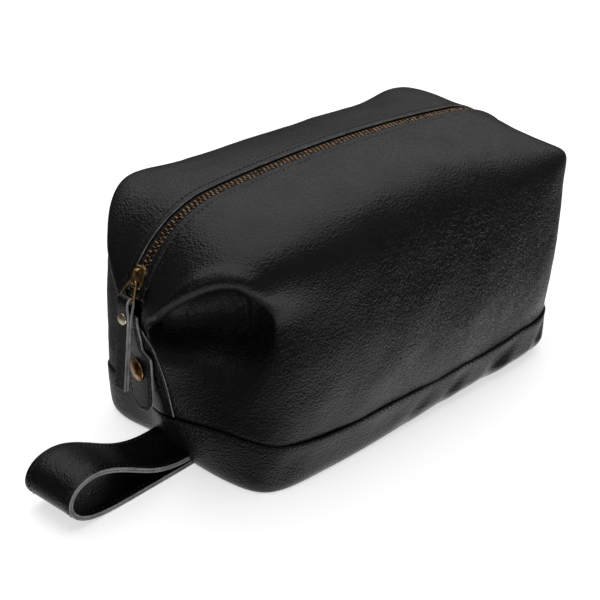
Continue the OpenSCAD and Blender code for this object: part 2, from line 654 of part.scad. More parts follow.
RIVET_CAP_H = 2;
RIVET_BACK_T = 1;
RIVET_BACK_D = 9;
rivet_back_depth = panel_t + 3.4;
module rivet_cap(end) {
    lift = tab_depth + tab_t + 0.75;
    color(ANTIQUE_BRASS)
        on_rivet(end)
            translate([0, 0, lift])
                domed_cap(rivet_d, RIVET_CAP_H, RIVET_SHANK_R, lift + rivet_back_depth);
}
module left_rivet_cap() { rivet_cap(LEFT); }
module right_rivet_cap() { rivet_cap(RIGHT); }
module rivet_back(end) {
    color(ANTIQUE_BRASS)
        on_rivet(end)
            translate([0, 0, -rivet_back_depth - RIVET_BACK_T - 0.1])
                cylinder(h = RIVET_BACK_T, d = RIVET_BACK_D);
}
module left_rivet_back() { rivet_back(LEFT); }
module right_rivet_back() { rivet_back(RIGHT); }

// ---- Wrist strap: a two-layer loop that lies on the floor ----
strap_root = [-141.2 * NET_SCALE.x, 2];
// Middle line of the loop, as [distance from the root, height].
strap_line = [
    [0, 1.6], [13, 1.6], [26, 1.6], [40, 1.6], [55, 1.7], [70, 3], [81, 8], [86, 17], [80, 27],
    [66, 30], [53, 26], [40, 19], [28, 12], [15, 7], [0, 4.8]
];
STRAP_STEPS = 4;
function strap_point(t, rise) = let (
    p = spline(strap_line, t),
    q = spline(strap_line, min(t + STEP, len(strap_line) - 1)) - spline(strap_line, max(t - STEP, 0))
) p + rise * [q[1], -q[0]] / norm(q);
function strap_edge(rise) = [for (k = [0:STRAP_STEPS * (len(strap_line) - 1)])
    strap_point(k / STRAP_STEPS, rise)];
function reversed(list) = [for (k = [len(list) - 1:-1:0]) list[k]];
module strap_layer(low, high) {
    translate([strap_root.x, strap_root.y, 0])
        rotate([0, 0, strap_yaw])
            rotate([90, 0, 0])
                linear_extrude(strap_w, center = true)
                    mirror([1, 0])
                        polygon(concat(strap_edge(low), reversed(strap_edge(high))));
}
module wrist_strap_outer() {
    color(LEATHER)
        strap_layer(0.05, 0.05 + strap_t);
}
module wrist_strap_inner() {
    color(LEATHER)
        strap_layer(-0.05 - strap_t, -0.05);
}

front_panel();
rear_panel();
base_panel();
front_lining();
rear_lining();
base_board();
base_lining();
zip_tape_front();
zip_tape_rear();
zip_teeth_front();
zip_teeth_rear();
zip_top_stops();
zip_bottom_stop();
slider_body();
slider_bridge();
pull_ring();
pull_strap();
pull_rivet();
left_end_tab();
left_end_underlay();
left_rivet_cap();
left_rivet_back();
right_end_tab();
right_end_underlay();
right_rivet_cap();
right_rivet_back();
wrist_strap_outer();
wrist_strap_inner();
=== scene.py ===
import math
import bpy
import numpy as np
from mathutils import Euler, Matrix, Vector


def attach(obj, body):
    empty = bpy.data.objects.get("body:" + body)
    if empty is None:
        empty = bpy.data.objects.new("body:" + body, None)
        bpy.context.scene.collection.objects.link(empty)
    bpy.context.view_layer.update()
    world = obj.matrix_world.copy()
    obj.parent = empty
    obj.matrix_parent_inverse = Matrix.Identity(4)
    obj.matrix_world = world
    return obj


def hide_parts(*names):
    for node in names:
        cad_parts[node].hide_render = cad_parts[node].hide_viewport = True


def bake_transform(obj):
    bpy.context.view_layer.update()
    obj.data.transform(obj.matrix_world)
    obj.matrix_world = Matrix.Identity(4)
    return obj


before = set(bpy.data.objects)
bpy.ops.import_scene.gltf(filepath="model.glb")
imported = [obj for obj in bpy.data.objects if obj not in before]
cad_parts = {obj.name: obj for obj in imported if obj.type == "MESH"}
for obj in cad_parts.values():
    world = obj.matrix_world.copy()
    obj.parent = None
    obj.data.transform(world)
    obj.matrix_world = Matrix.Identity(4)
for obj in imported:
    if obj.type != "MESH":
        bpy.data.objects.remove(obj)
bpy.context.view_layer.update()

MM = 0.001
NEAR, FAR = -1, 1
SIDES = ((NEAR, "front"), (FAR, "rear"))
LEFT, RIGHT = -1, 1

# ---- shape of the side panels
# Quarter nets as in the CAD part, with a sharper far left top corner. Rows run from the hidden lower
# edge up to the zip, columns from the end keel to the middle of the side, and each point is
# [along X, along Y, height] in mm.
FIRM = np.array([
    [[139, 3, 14], [138, 12, 14], [135, 26, 13], [132, 50, 12],
     [124, 73, 11], [88, 75, 10], [44, 75, 10], [0, 75, 10]],
    [[146, 3, 33], [144.5, 12, 33], [138, 24, 32], [131, 48, 31],
     [123, 73, 29], [88, 76, 24], [44, 76, 21], [0, 76, 21]],
    [[151.5, 3, 60], [150.5, 12, 58], [136, 21, 56], [124, 45, 56],
     [121, 73, 54], [88, 80, 50], [44, 82, 48], [0, 82, 48]],
    [[155, 3, 80], [154, 12, 78], [131, 18, 80], [116, 42, 82],
     [119, 72, 86], [88, 81, 80], [44, 83, 79], [0, 83, 79]],
    [[156, 3, 90], [156, 11, 88], [126, 15, 92], [109, 38, 100],
     [118, 68, 112], [88, 78, 107], [44, 79, 106], [0, 79, 106]],
    [[156, 4, 94], [157, 13, 93], [153, 21, 100], [138, 44, 120],
     [122, 71, 136], [88, 75, 129], [44, 75, 127], [0, 75, 127]],
    [[157, 5, 99], [159, 14, 99], [160, 22, 111], [149, 46, 135],
     [126, 72, 151], [90, 70, 146], [44, 67, 145], [0, 67, 145]],
    [[157, 7, 104], [157, 14, 112], [150, 22, 126], [135, 38, 146],
     [120, 58, 157], [88, 52, 157], [44, 49, 157.5], [0, 49, 158]],
    [[156, 9, 113], [149, 9, 129], [138, 9, 142], [122, 9, 151],
     [100, 9, 156], [70, 9, 159], [35, 9, 161], [0, 9, 162]],
], float)
SLUMPED = FIRM.copy()
SLUMPED[3, 2:5] = [[130, 20, 78], [116, 44, 78], [120, 72, 82]]
SLUMPED[4, 2:5] = [[118, 16, 92], [102, 37, 100], [115, 63, 103]]
SLUMPED[5, 2:6] = [[156, 24, 98], [146, 48, 115], [127, 71, 119], [88, 77, 126]]
SLUMPED[6, 2:6] = [[164, 25, 109], [158, 50, 131], [136, 71, 137], [92, 72, 143]]
SLUMPED[7, 2:6] = [[153, 22, 122], [141, 37, 141], [122, 57, 150], [88, 52, 155]]
CORNER_PUSH = np.array([0, 2, 8, 14, 22, 15, 9, 3, 0], float)
CORNER_DROP = np.array([0, 0, 0, 0, 0, 5, 9, 11, 1], float)
FULL = FIRM.copy()
FULL[:, 3:6, 0] += CORNER_PUSH[:, None]
FULL[:, 2:6, 2] -= CORNER_DROP[:, None]
UPRIGHT = FIRM.copy()
UPRIGHT[0, 3:6] = [[137, 54, 12], [129, 77, 11], [90, 77, 10]]
UPRIGHT[1, 3:6] = [[137, 53, 31], [131, 78, 29], [90, 78, 24]]
UPRIGHT[2, 2:5] = [[142, 22, 56], [134, 50, 56], [131, 79, 54]]
UPRIGHT[3, 2:5] = [[141, 20, 80], [131, 49, 82], [131, 79, 86]]
UPRIGHT[4, 2:5] = [[139, 18, 92], [126, 45, 100], [130, 75, 112]]
UPRIGHT[5, 3:5] = [[139, 46, 120], [123, 71, 135]]
UPRIGHT[6, 3:8] = [[146, 45, 136], [117, 71, 153], [89, 72, 145], [44, 71, 145], [0, 72, 146]]
UPRIGHT[7, 3:8] = [[134, 38, 145], [115, 56, 155], [87, 52, 156], [44, 50, 157], [0, 50, 158]]
SHARP = FIRM.copy()
SHARP[:, 6:] = UPRIGHT[:, 6:]
SHARP[:, 3:5, 0] -= np.array([0, 0, 0, 0, 2, 7, 9, 6, 0], float)[:, None]
SHARP[:, 3:5, 2] += np.array([0, 0, 0, 0, 0, 1, 3, 2, 0], float)[:, None]
NOSE_TURN = np.array([0.5, 2, 2, 0, 0, 0, 0, 0], float)
LAST_U, LAST_V = 14, 8

CROWN_R, END_R, BAG_H = 1000.0, 69.3, 162.0
CROWN_HALF = math.asin(100 / CROWN_R)
END_X = (CROWN_R - END_R) * math.sin(CROWN_HALF)
END_Z = BAG_H - CROWN_R + (CROWN_R - END_R) * math.cos(CROWN_HALF)
ZIP_END = math.radians(71)
ZIP_DEPTH = 2.2
SLOT_HALF = 5.5


def whole_net(left, right, side):
    left, right = left * [-1, side, 1], right * [1, side, 1]
    return np.concatenate([left, right[:, ::-1][:, 1:]], axis=1)


def turned(net, amount):
    out = net.copy()
    out[:, :, 0] += amount * NOSE_TURN
    return out


def padded(net):
    """The net with a phantom row and column past each edge, so that the surface reaches its edges."""
    net = np.concatenate([[2 * net[0] - net[1]], net, [2 * net[-1] - net[-2]]])
    first, last = 2 * net[:, :1] - net[:, 1:2], 2 * net[:, -1:] - net[:, -2:-1]
    return np.concatenate([first, net, last], axis=1)


NETS = {NEAR: padded(whole_net(turned(SLUMPED, 1), FULL, NEAR)),
        FAR: padded(whole_net(turned(UPRIGHT, -1), SHARP, FAR))}


def basis(ts, n):
    """Uniform cubic B-spline weights of n + 2 control points at each t from 0 to n - 1."""
    ts = np.atleast_1d(np.asarray(ts, float))
    start = np.clip(np.floor(ts).astype(int), 0, n - 2)
    t = ts - start
    w = np.stack([(1 - t) ** 3, 3 * t ** 3 - 6 * t ** 2 + 4,
                  -3 * t ** 3 + 3 * t ** 2 + 3 * t + 1, t ** 3], 1) / 6
    out = np.zeros((len(ts), n + 2))
    for k in range(4):
        out[np.arange(len(ts)), start + k] = w[:, k]
    return out


def smooth_step(t):
    t = np.clip(t, 0, 1)
    return t * t * (3 - 2 * t)


def unit(vectors):
    return vectors / np.linalg.norm(vectors, axis=-1, keepdims=True)


def smooth_line(points, steps):
    """Points along the smooth line that a list of control points pulls on."""
    points = np.asarray(points, float)
    whole = np.concatenate([[2 * points[0] - points[1]], points, [2 * points[-1] - points[-2]]])
    return basis(np.linspace(0, len(points) - 1, steps), len(points)) @ whole


def zip_line(heading, rise=0.0):
    """X and Z of the zip's line at a heading from straight up, in radians, positive towards +X."""
    heading = np.asarray(heading, float)
    a = np.abs(heading)
    crown = a <= CROWN_HALF
    crown_r, end_r = CROWN_R + rise, END_R + rise
    x = np.where(crown, crown_r * np.sin(heading), np.sign(heading) * (END_X + end_r * np.sin(a)))
    z = np.where(crown, BAG_H - CROWN_R + crown_r * np.cos(a), END_Z + end_r * np.cos(a))
    return x, z


def heading_of(x, z):
    over = np.arctan2(np.abs(x), z - BAG_H + CROWN_R)
    end = np.minimum(np.arctan2(np.abs(x) - END_X, z - END_Z), ZIP_END + math.radians(1))
    return np.sign(x) * np.where(over <= CROWN_HALF, over, end)


def heading_at(run):
    """Heading at a distance along the zip from the crown, in mm."""
    a = np.abs(run)
    crown_run = CROWN_R * CROWN_HALF
    return np.sign(run) * np.where(a <= crown_run, a / CROWN_R, CROWN_HALF + (a - crown_run) / END_R)


ZIP_RUN = CROWN_R * CROWN_HALF + END_R * (ZIP_END - CROWN_HALF)


def skin(side, us, vs):
    """Grid of points on the outside of a side panel, rows by v and columns by u, in mm."""
    us, vs = np.asarray(us, float), np.asarray(vs, float)
    low = np.minimum(vs, LAST_V)
    bu = basis(us, LAST_U + 1)
    grid = np.einsum("ai,bj,ijk->abk", basis(low, LAST_V + 1), bu, NETS[side])
    edge = np.einsum("ai,bj,ijk->abk", basis([LAST_V], LAST_V + 1), bu, NETS[side])[0]
    zx, zz = zip_line(heading_of(edge[:, 0], edge[:, 2]))
    target = np.stack([zx, edge[:, 1], zz], 1)
    grid = grid + smooth_step((low - LAST_V + 1.5) / 1.5)[:, None, None] * (target - edge)[None]
    flange = np.clip(vs - LAST_V, 0, 1)[:, None]
    grid[:, :, 1] += flange * (side * SLOT_HALF - edge[:, 1])[None]
    return grid


def normals(grid, side):
    n = np.cross(np.gradient(grid, axis=1), np.gradient(grid, axis=0))
    return -side * n / np.maximum(np.linalg.norm(n, axis=2, keepdims=True), 1e-9)


# ---- relief of soft leather
rng = np.random.default_rng(11)


def wave_band(wavelength, count, squash=(1, 1, 1)):
    """Directions and phases of a band of waves about one wavelength, in mm."""
    d = unit(rng.normal(size=(count, 3)) * squash)
    k = 2 * np.pi / (wavelength * rng.uniform(0.75, 1.4, count))
    return d * k[:, None], rng.uniform(0, 2 * np.pi, count)


def waves(points, band):
    k, phase = band
    return np.sin(points @ k.T + phase).sum(axis=-1) / math.sqrt(len(phase))


BROAD = wave_band(62, 14)
MIDDLE = wave_band(27, 18)
FINE = wave_band(11, 22)
CREASE_A = wave_band(7, 18, (1, 1, 0.35))
CREASE_B = wave_band(4.5, 22, (1, 1, 0.6))
PUCKER = wave_band(3.2, 22, (1, 1, 0.2))


def blob(points, centre, radii):
    return np.exp(-(((points - centre) / radii) ** 2).sum(axis=-1))


def creased(points):
    """How strongly each point of a side panel is creased, from 0 to 1."""
    near = (blob(points, (20, -82, 95), (70, 40, 42)) + 0.7 * blob(points, (85, -82, 80), (50, 40, 40))
            + 0.8 * blob(points, (-118, -50, 86), (26, 26, 16)))
    far = 0.7 * blob(points, (-20, 82, 100), (90, 40, 40)) + 0.6 * blob(points, (-118, 50, 90), (26, 26, 18))
    return np.clip(near + far, 0, 1)


def panel_relief(points, vs):
    height = (0.45 * waves(points, BROAD) + 0.2 * waves(points, MIDDLE) + 0.05 * waves(points, FINE))
    folds = -np.abs(waves(points, CREASE_A)) * 0.16 - np.abs(waves(points, CREASE_B)) * 0.09
    height = height + creased(points) * (folds + 0.1)
    calm = smooth_step((LAST_V - 0.1 - vs) / 0.6)[:, None]
    height = height * calm
    seam = -0.5 * np.exp(-((vs - 1.03) / 0.06) ** 2)
    return height + seam[:, None]


# The near corner beside the slider has slumped into a pocket under a rolled lip. The lip's line
# is given in panel coordinates, from the pinch at the zip's end round to the side of the bag.
LIP_LINE = [(0.9, 5.3), (1.6, 5.9), (2.3, 6.3), (3.0, 6.48),
            (3.55, 6.4), (3.9, 6.0), (4.05, 5.35), (4.0, 4.6)]
MM_PER_U, MM_PER_V = 17.0, 13.0
POCKET_DEPTH, LIP_OUT, LIP_DROP = 17.0, 3.6, 2.4


def from_line(us, vs, line):
    """Distance in mm of each (v, u) grid point from a line, and how far along it from 0 to 1."""
    scale = np.array([MM_PER_U, MM_PER_V])
    line = np.array(line) * scale
    at = np.stack(np.meshgrid(us, vs), -1) * scale
    best = np.full(at.shape[:2], 1e9)
    along = np.zeros(at.shape[:2])
    for k in range(len(line) - 1):
        step = line[k + 1] - line[k]
        t = np.clip(((at - line[k]) @ step) / (step @ step), 0, 1)
        gap = np.linalg.norm(at - line[k] - t[..., None] * step, axis=-1)
        closer = gap < best
        best = np.where(closer, gap, best)
        along = np.where(closer, (k + t) / (len(line) - 1), along)
    return best, along


def slump(us, vs, grid, n):
    """Pushes the pocket in and rolls the lip over it."""
    u, v = np.meshgrid(us, vs)
    reach = 1 - smooth_step((v - 5.4) / 0.9)
    right = smooth_step((4.05 - u) / 0.8)
    below = smooth_step((v - 2.5) / 2.0)
    left = smooth_step((u - 0.55) / 1.1)
    pocket = POCKET_DEPTH * reach * right * below * left
    gap, along = from_line(us, vs, LIP_LINE)
    ends = smooth_step(along / 0.3) * smooth_step((1 - along) / 0.3)
    lip = LIP_OUT * np.exp(-(gap / 3.0) ** 2) * ends
    drop = LIP_DROP * np.exp(-(gap / 4.4) ** 2) * ends
    pucker = 0.22 * waves(grid * [1, 1, 0.3], PUCKER)
    pucker = pucker * smooth_step(pocket / 5) * np.exp(-((v - 3.9) / 0.8) ** 2)
    out = grid + n * (lip - pocket + pucker)[..., None]
    out[:, :, 2] -= drop
    return out


def panel_surface(side, us, vs):
    grid = skin(side, us, vs)
    if side == NEAR:
        grid = slump(us, vs, grid, normals(grid, side))
    return grid


# ---- meshes
def link(obj):
    bpy.context.scene.collection.objects.link(obj)
    return obj


def make(name, points, faces, materials, face_slots=None):
    """A mesh object from points in mm."""
    mesh = bpy.data.meshes.new(name)
    mesh.from_pydata((np.asarray(points) * MM).tolist(), [], [list(map(int, f)) for f in faces])
    for m in materials:
        mesh.materials.append(m)
    if face_slots is not None:
        mesh.polygons.foreach_set("material_index", np.asarray(face_slots, dtype=np.int32))
    mesh.polygons.foreach_set("use_smooth", np.full(len(mesh.polygons), True))
    mesh.update()
    mesh.validate()
    return link(bpy.data.objects.new(name, mesh))


def finish_piece(obj, body, slot_name, *nodes):
    if nodes:
        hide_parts(*nodes)
    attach(obj, body)


def grid_faces(rows, cols, wrap=False, start=0, flip=False):
    i, j = np.meshgrid(np.arange(rows - 1), np.arange(cols if wrap else cols - 1), indexing="ij")
    k = (j + 1) % cols
    quads = np.stack([i * cols + j, i * cols + k, (i + 1) * cols + k, (i + 1) * cols + j], -1).reshape(-1, 4)
    return (quads[:, ::-1] if flip else quads) + start


def tube_faces(rows, cols, start=0, flip=False):
    """Faces of a tube of rings, closed at both ends."""
    first = list(range(start, start + cols))
    last = [k + (rows - 1) * cols for k in first]
    ends = [first, last[::-1]] if flip else [first[::-1], last]
    return grid_faces(rows, cols, wrap=True, start=start, flip=flip).tolist() + ends


def slab(outer, inner, flip=False):
    """Points, faces and edge flags of a closed sheet between two grids of the same shape."""
    rows, cols = outer.shape[:2]
    back = rows * cols
    top = grid_faces(rows, cols, flip=flip)
    under = grid_faces(rows, cols, start=back, flip=not flip)
    rim = np.concatenate([np.arange(cols - 1), np.arange(rows - 1) * cols + cols - 1,
                          (rows - 1) * cols + np.arange(cols - 1, 0, -1), np.arange(rows - 1, 0, -1) * cols])
    nxt = np.roll(rim, -1)
    side = np.stack([rim, rim + back, nxt + back, nxt], 1)
    side = side[:, ::-1] if flip else side
    faces = np.concatenate([top, under, side])
    flags = np.concatenate([np.zeros(len(top) + len(under), int), np.ones(len(side), int)])
    return np.concatenate([outer.reshape(-1, 3), inner.reshape(-1, 3)]), faces, flags


def paint(obj, name, values):
    """Stores one number per vertex as a named attribute for the materials."""
    layer = obj.data.attributes.new(name, "FLOAT", "POINT")
    layer.data.foreach_set("value", np.asarray(values, dtype=np.float32).ravel())


# ---- materials
def shader(name, **settings):
    material = bpy.data.materials.new(name)
    material.use_nodes = True
    tree = material.node_tree
    bsdf = tree.nodes["Principled BSDF"]
    for key, value in settings.items():
        bsdf.inputs[key.replace("_", " ")].default_value = value
    return material, tree, bsdf


def node(tree, kind, **settings):
    n = tree.nodes.new(kind)
    for key, value in settings.items():
        setattr(n, key, value)
    return n


def texture(tree, kind, scale, **inputs):
    """A procedural texture on object coordinates, with its scale in cycles per metre."""
    coords = node(tree, "ShaderNodeTexCoord")
    stretch = node(tree, "ShaderNodeMapping")
    stretch.inputs["Scale"].default_value = inputs.pop("stretch", (1, 1, 1))
    warp = inputs.pop("warp", None)
    t = node(tree, kind)
    if "feature" in inputs:
        t.feature = inputs.pop("feature")
    t.inputs["Scale"].default_value = scale
    for key, value in inputs.items():
        t.inputs[key].default_value = value
    tree.links.new(coords.outputs["Object"], stretch.inputs["Vector"])
    where = stretch.outputs["Vector"]
    if warp:
        bend = node(tree, "ShaderNodeTexNoise")
        bend.inputs["Scale"].default_value = warp[0]
        tree.links.new(where, bend.inputs["Vector"])
        moved = node(tree, "ShaderNodeVectorMath", operation="MULTIPLY_ADD")
        moved.inputs[1].default_value = (warp[1] * MM,) * 3
        tree.links.new(bend.outputs["Color"], moved.inputs[0])
        tree.links.new(where, moved.inputs[2])
        where = moved.outputs["Vector"]
    tree.links.new(where, t.inputs["Vector"])
    return t


def noise(tree, scale, **inputs):
    return texture(tree, "ShaderNodeTexNoise", scale, **inputs).outputs[0]


def ramp(tree, source, low, high, low_value, high_value):
    m = node(tree, "ShaderNodeMapRange")
    m.inputs["From Min"].default_value, m.inputs["From Max"].default_value = low, high
    m.inputs["To Min"].default_value, m.inputs["To Max"].default_value = low_value, high_value
    tree.links.new(source, m.inputs["Value"])
    return m.outputs["Result"]


def math_node(tree, operation, a, b):
    m = node(tree, "ShaderNodeMath", operation=operation)
    for socket, value in zip(m.inputs, (a, b)):
        if isinstance(value, (int, float)):
            socket.default_value = value
        else:
            tree.links.new(value, socket)
    return m.outputs["Value"]


def bump_chain(tree, bsdf, layers):
    """Adds bump layers, each (height socket, distance in mm, strength)."""
    last = None
    for height, distance, strength in layers:
        b = node(tree, "ShaderNodeBump")
        b.inputs["Distance"].default_value = distance * MM
        b.inputs["Strength"].default_value = strength
        tree.links.new(height, b.inputs["Height"])
        if last is not None:
            tree.links.new(last, b.inputs["Normal"])
        last = b.outputs["Normal"]
    tree.links.new(last, bsdf.inputs["Normal"])


def mix_colour(tree, bsdf, factor, low, high):
    m = node(tree, "ShaderNodeMix", data_type="RGBA")
    m.inputs["A"].default_value, m.inputs["B"].default_value = (*low, 1), (*high, 1)
    tree.links.new(factor, m.inputs["Factor"])
    tree.links.new(m.outputs["Result"], bsdf.inputs["Base Color"])


def black_leather(name, grain=1.0, gloss=0.3, creases=True):
    """Glossy black leather: fine pebbles everywhere, and a net of cracks where it has been creased."""
    material, tree, bsdf = shader(name, Roughness=gloss, Specular_IOR_Level=0.3)
    pebble = texture(tree, "ShaderNodeTexVoronoi", 760 * grain, feature="SMOOTH_F1", Smoothness=0.5,
                     warp=(300, 1.5))
    pores = noise(tree, 1900, Detail=2.0)
    lumps = noise(tree, 170, Detail=3.0)
    patches = noise(tree, 38, Detail=3.0)
    layers = [(lumps, 0.2, 0.5), (pores, 0.08, 0.7),
              (pebble.outputs["Distance"], 0.3, 1.0)]
    if creases:
        mark = node(tree, "ShaderNodeAttribute", attribute_name="creased")
        cracks = texture(tree, "ShaderNodeTexVoronoi", 480, feature="DISTANCE_TO_EDGE", warp=(110, 6),
                         stretch=(1, 1, 0.5))
        lines = noise(tree, 210, Detail=3.0, Distortion=0.5, stretch=(1, 1, 0.3))
        ridge = math_node(tree, "ABSOLUTE", math_node(tree, "SUBTRACT", lines, 0.5), 0)
        for height, width, depth in ((cracks.outputs["Distance"], 0.12, 0.5), (ridge, 0.03, 0.6)):
            net = ramp(tree, height, 0.0, width, 0.0, 1.0)
            layers.append((math_node(tree, "MULTIPLY", net, mark.outputs["Fac"]), depth, 0.85))
    bump_chain(tree, bsdf, layers)
    tree.links.new(ramp(tree, patches, 0.3, 0.7, gloss - 0.06, gloss + 0.1), bsdf.inputs["Roughness"])
    mix_colour(tree, bsdf, patches, (0.0032, 0.0026, 0.0034), (0.0075, 0.006, 0.0075))
    return material


def raw_edge():
    material, tree, bsdf = shader("raw_leather_edge", Roughness=0.8)
    fibres = noise(tree, 1500, Detail=4.0)
    stains = noise(tree, 160, Detail=3.0)
    both = math_node(tree, "MULTIPLY", fibres, stains)
    mix_colour(tree, bsdf, ramp(tree, both, 0.12, 0.4, 0, 1), (0.13, 0.125, 0.13), (0.36, 0.35, 0.365))
    bump_chain(tree, bsdf, [(fibres, 0.12, 0.6)])
    return material


def thread():
    material, tree, bsdf = shader("black_thread", Roughness=0.55)
    twist = texture(tree, "ShaderNodeTexWave", 900, Distortion=1.0)
    mix_colour(tree, bsdf, twist.outputs[0], (0.008, 0.008, 0.009), (0.03, 0.03, 0.032))
    bump_chain(tree, bsdf, [(twist.outputs[0], 0.08, 0.6)])
    return material


def woven(name, dark, light, pitch):
    material, tree, bsdf = shader(name, Roughness=0.85)
    scale = 1 / (pitch * MM) / 6.28
    warp = texture(tree, "ShaderNodeTexWave", scale, Distortion=0.6)
    weft = texture(tree, "ShaderNodeTexWave", scale, Distortion=0.6, stretch=(0.3, 1, 1))
    fuzz = noise(tree, 1800, Detail=3.0)
    weave = math_node(tree, "MULTIPLY", warp.outputs[0], weft.outputs[0])
    mix_colour(tree, bsdf, weave, dark, light)
    bump_chain(tree, bsdf, [(weave, 0.12, 0.7), (fuzz, 0.05, 0.4)])
    return material


def metal(name, dark, light, roughness):
    """Aged brass: dark in its patches of tarnish, and bright where the worn attribute says so."""
    material, tree, bsdf = shader(name, Metallic=1.0, Roughness=roughness)
    rubbed = node(tree, "ShaderNodeAttribute", attribute_name="worn")
    tarnish = noise(tree, 420, Detail=5.0)
    scratches = noise(tree, 900, Detail=3.0, stretch=(1, 6, 1))
    bright = math_node(tree, "ADD", ramp(tree, tarnish, 0.38, 0.53, 0, 1),
                       rubbed.outputs["Fac"])
    mix_colour(tree, bsdf, math_node(tree, "MINIMUM", bright, 1.0), dark, light)
    tree.links.new(ramp(tree, tarnish, 0.3, 0.7, roughness + 0.15, roughness - 0.08),
                   bsdf.inputs["Roughness"])
    bump_chain(tree, bsdf, [(scratches, 0.03, 0.4), (tarnish, 0.05, 0.3)])
    return material


LEATHER = black_leather("panel_leather", gloss=0.32)
BASE_LEATHER = black_leather("base_leather", grain=1.15, gloss=0.29, creases=False)
STRAP_LEATHER = black_leather("strap_leather", grain=1.2, gloss=0.22, creases=False)
RAW = raw_edge()
THREAD = thread()
LINING = woven("lining_cloth", (0.03, 0.028, 0.028), (0.09, 0.085, 0.08), 0.5)
TAPE = woven("zip_tape_cloth", (0.006, 0.006, 0.007), (0.025, 0.025, 0.027), 0.45)
BOARD = woven("stiffener_board", (0.12, 0.12, 0.12), (0.2, 0.2, 0.2), 1.2)
BRASS = metal("antique_brass", (0.09, 0.055, 0.026), (0.42, 0.28, 0.13), 0.34)
TEETH_BRASS = metal("teeth_brass", (0.035, 0.02, 0.013), (0.24, 0.155, 0.09), 0.4)
PALE_BRASS = metal("pale_brass", (0.45, 0.36, 0.24), (0.85, 0.74, 0.55), 0.25)
RIVET_BRASS = metal("rivet_brass", (0.12, 0.055, 0.02), (0.5, 0.27, 0.1), 0.24)

# ---- stitches
STITCH_PITCH, STITCH_L, STITCH_R, STITCH_SINK = 3.3, 2.5, 0.32, 0.1


def stitch_row(name, path, up, body="root"):
    """A row of short threads along a path in mm, each lying across the surface whose normal is up."""
    run = np.concatenate([[0], np.cumsum(np.linalg.norm(np.diff(path, axis=0), axis=1))])
    count = int(run[-1] // STITCH_PITCH)
    at = (np.arange(count) + 0.5) * run[-1] / count

    def pick(values, s):
        return np.stack([np.interp(s, run, values[:, k]) for k in range(3)], 1)

    along = unit(pick(path, at + STITCH_L * 0.3) - pick(path, at - STITCH_L * 0.3))
    normal = pick(up, at)
    normal = unit(normal - (normal * along).sum(1, keepdims=True) * along)
    frames = np.stack([along, np.cross(along, normal), normal], 1)
    rings, sides = 7, 8
    t = np.linspace(-1, 1, rings)[:, None]
    angle = np.arange(sides) * 2 * np.pi / sides
    radius = STITCH_R * np.sqrt(np.maximum(1 - np.abs(t) ** 3, 0.02))
    lift = STITCH_R * (0.75 - 1.1 * t ** 2) - STITCH_SINK
    shape = np.stack([t * STITCH_L / 2 + 0 * angle, radius * np.cos(angle),
                      radius * np.sin(angle) + lift], -1)
    points = pick(path, at)[:, None] + shape.reshape(-1, 3) @ frames
    faces = [f for n in range(count) for f in tube_faces(rings, sides, start=n * rings * sides)]
    obj = make(name, points.reshape(-1, 3), faces, [THREAD])
    if body:
        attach(obj, body)
    return obj


# ---- side panels
PANEL_US = np.concatenate([np.linspace(0, 3, 76), np.linspace(3, 11, 98)[1:], np.linspace(11, 14, 76)[1:]])
PANEL_VS = np.concatenate([np.linspace(0.6, 1.3, 18), np.linspace(1.3, 7.6, 118)[1:],
                           np.linspace(7.6, 8, 14)[1:],
                           LAST_V + np.linspace(0, 1, 10)[1:]])
EDGE_ROLL = [(0.45, 0.12), (0.62, 0.5), (0.62, 1.0)]
PANEL_T = 1.3
LINING_DEPTH, LINING_T = 2.9, 0.6
ZIP_STITCH_Y = 3.9


def side_panel(side, name):
    grid = panel_surface(side, PANEL_US, PANEL_VS)
    n = normals(grid, side)
    height = panel_relief(grid, PANEL_VS)
    from_edge = np.abs(grid[:, :, 1]) - SLOT_HALF
    on_top = smooth_step((PANEL_VS - 7.3) / 0.4)[:, None]
    height = height - on_top * 0.38 * np.exp(-((from_edge - ZIP_STITCH_Y) / 0.75) ** 2)
    height = height + on_top * 0.3 * np.exp(-((from_edge - 1.6) / 1.5) ** 2)
    ripple = np.sin(np.cumsum(np.full(grid.shape[1], 0.55)) + 2 * np.sin(grid[0, :, 0] * 0.11))
    height = height + on_top * 0.1 * ripple[None] * np.exp(-((from_edge - 6.5) / 3.0) ** 2)
    grid = grid + n * height[:, :, None]
    roll = [grid[-1] + np.array([0, -side * out, 0]) - n[-1] * down for out, down in EDGE_ROLL]
    grid = np.concatenate([grid, np.array(roll)])
    rows, cols = grid.shape[:2]
    faces = grid_faces(rows, cols, flip=side == FAR)
    row = np.arange(len(faces)) // (cols - 1)
    obj = make(name, grid.reshape(-1, 3), faces, [LEATHER, RAW], (row >= rows - 3).astype(int))
    paint(obj, "creased", creased(grid.reshape(-1, 3)))
    layer = obj.modifiers.new("thickness", "SOLIDIFY")
    layer.thickness, layer.offset = PANEL_T * MM, -1
    finish_piece(obj, "root", "panel_leather", name)


def side_lining(side, name):
    grid = panel_surface(side, np.linspace(1, 13, 150), np.linspace(0.5, 7.4, 70))
    n = normals(grid, side)
    outer = grid - n * (LINING_DEPTH - 0.35 * waves(grid, MIDDLE))[:, :, None]
    points, faces, _ = slab(outer, outer - LINING_T * n, flip=side == FAR)
    finish_piece(make(name, points, faces, [LINING]), "root", "lining", name)


def zip_topstitch(side, name):
    us = np.linspace(0.25, 13.75, 500)
    vs = np.linspace(7.4, 8, 40)
    grid = skin(side, us, vs)
    n = normals(grid, side)
    rows = np.abs(np.abs(grid[:, :, 1]) - SLOT_HALF - ZIP_STITCH_Y).argmin(axis=0)
    k = np.arange(len(us))
    stitch_row(name, grid[rows, k] - 0.3 * n[rows, k], n[rows, k])


for side, label in SIDES:
    side_panel(side, label + "_panel")
    side_lining(side, label + "_lining")
    zip_topstitch(side, label + "_zip_stitching")


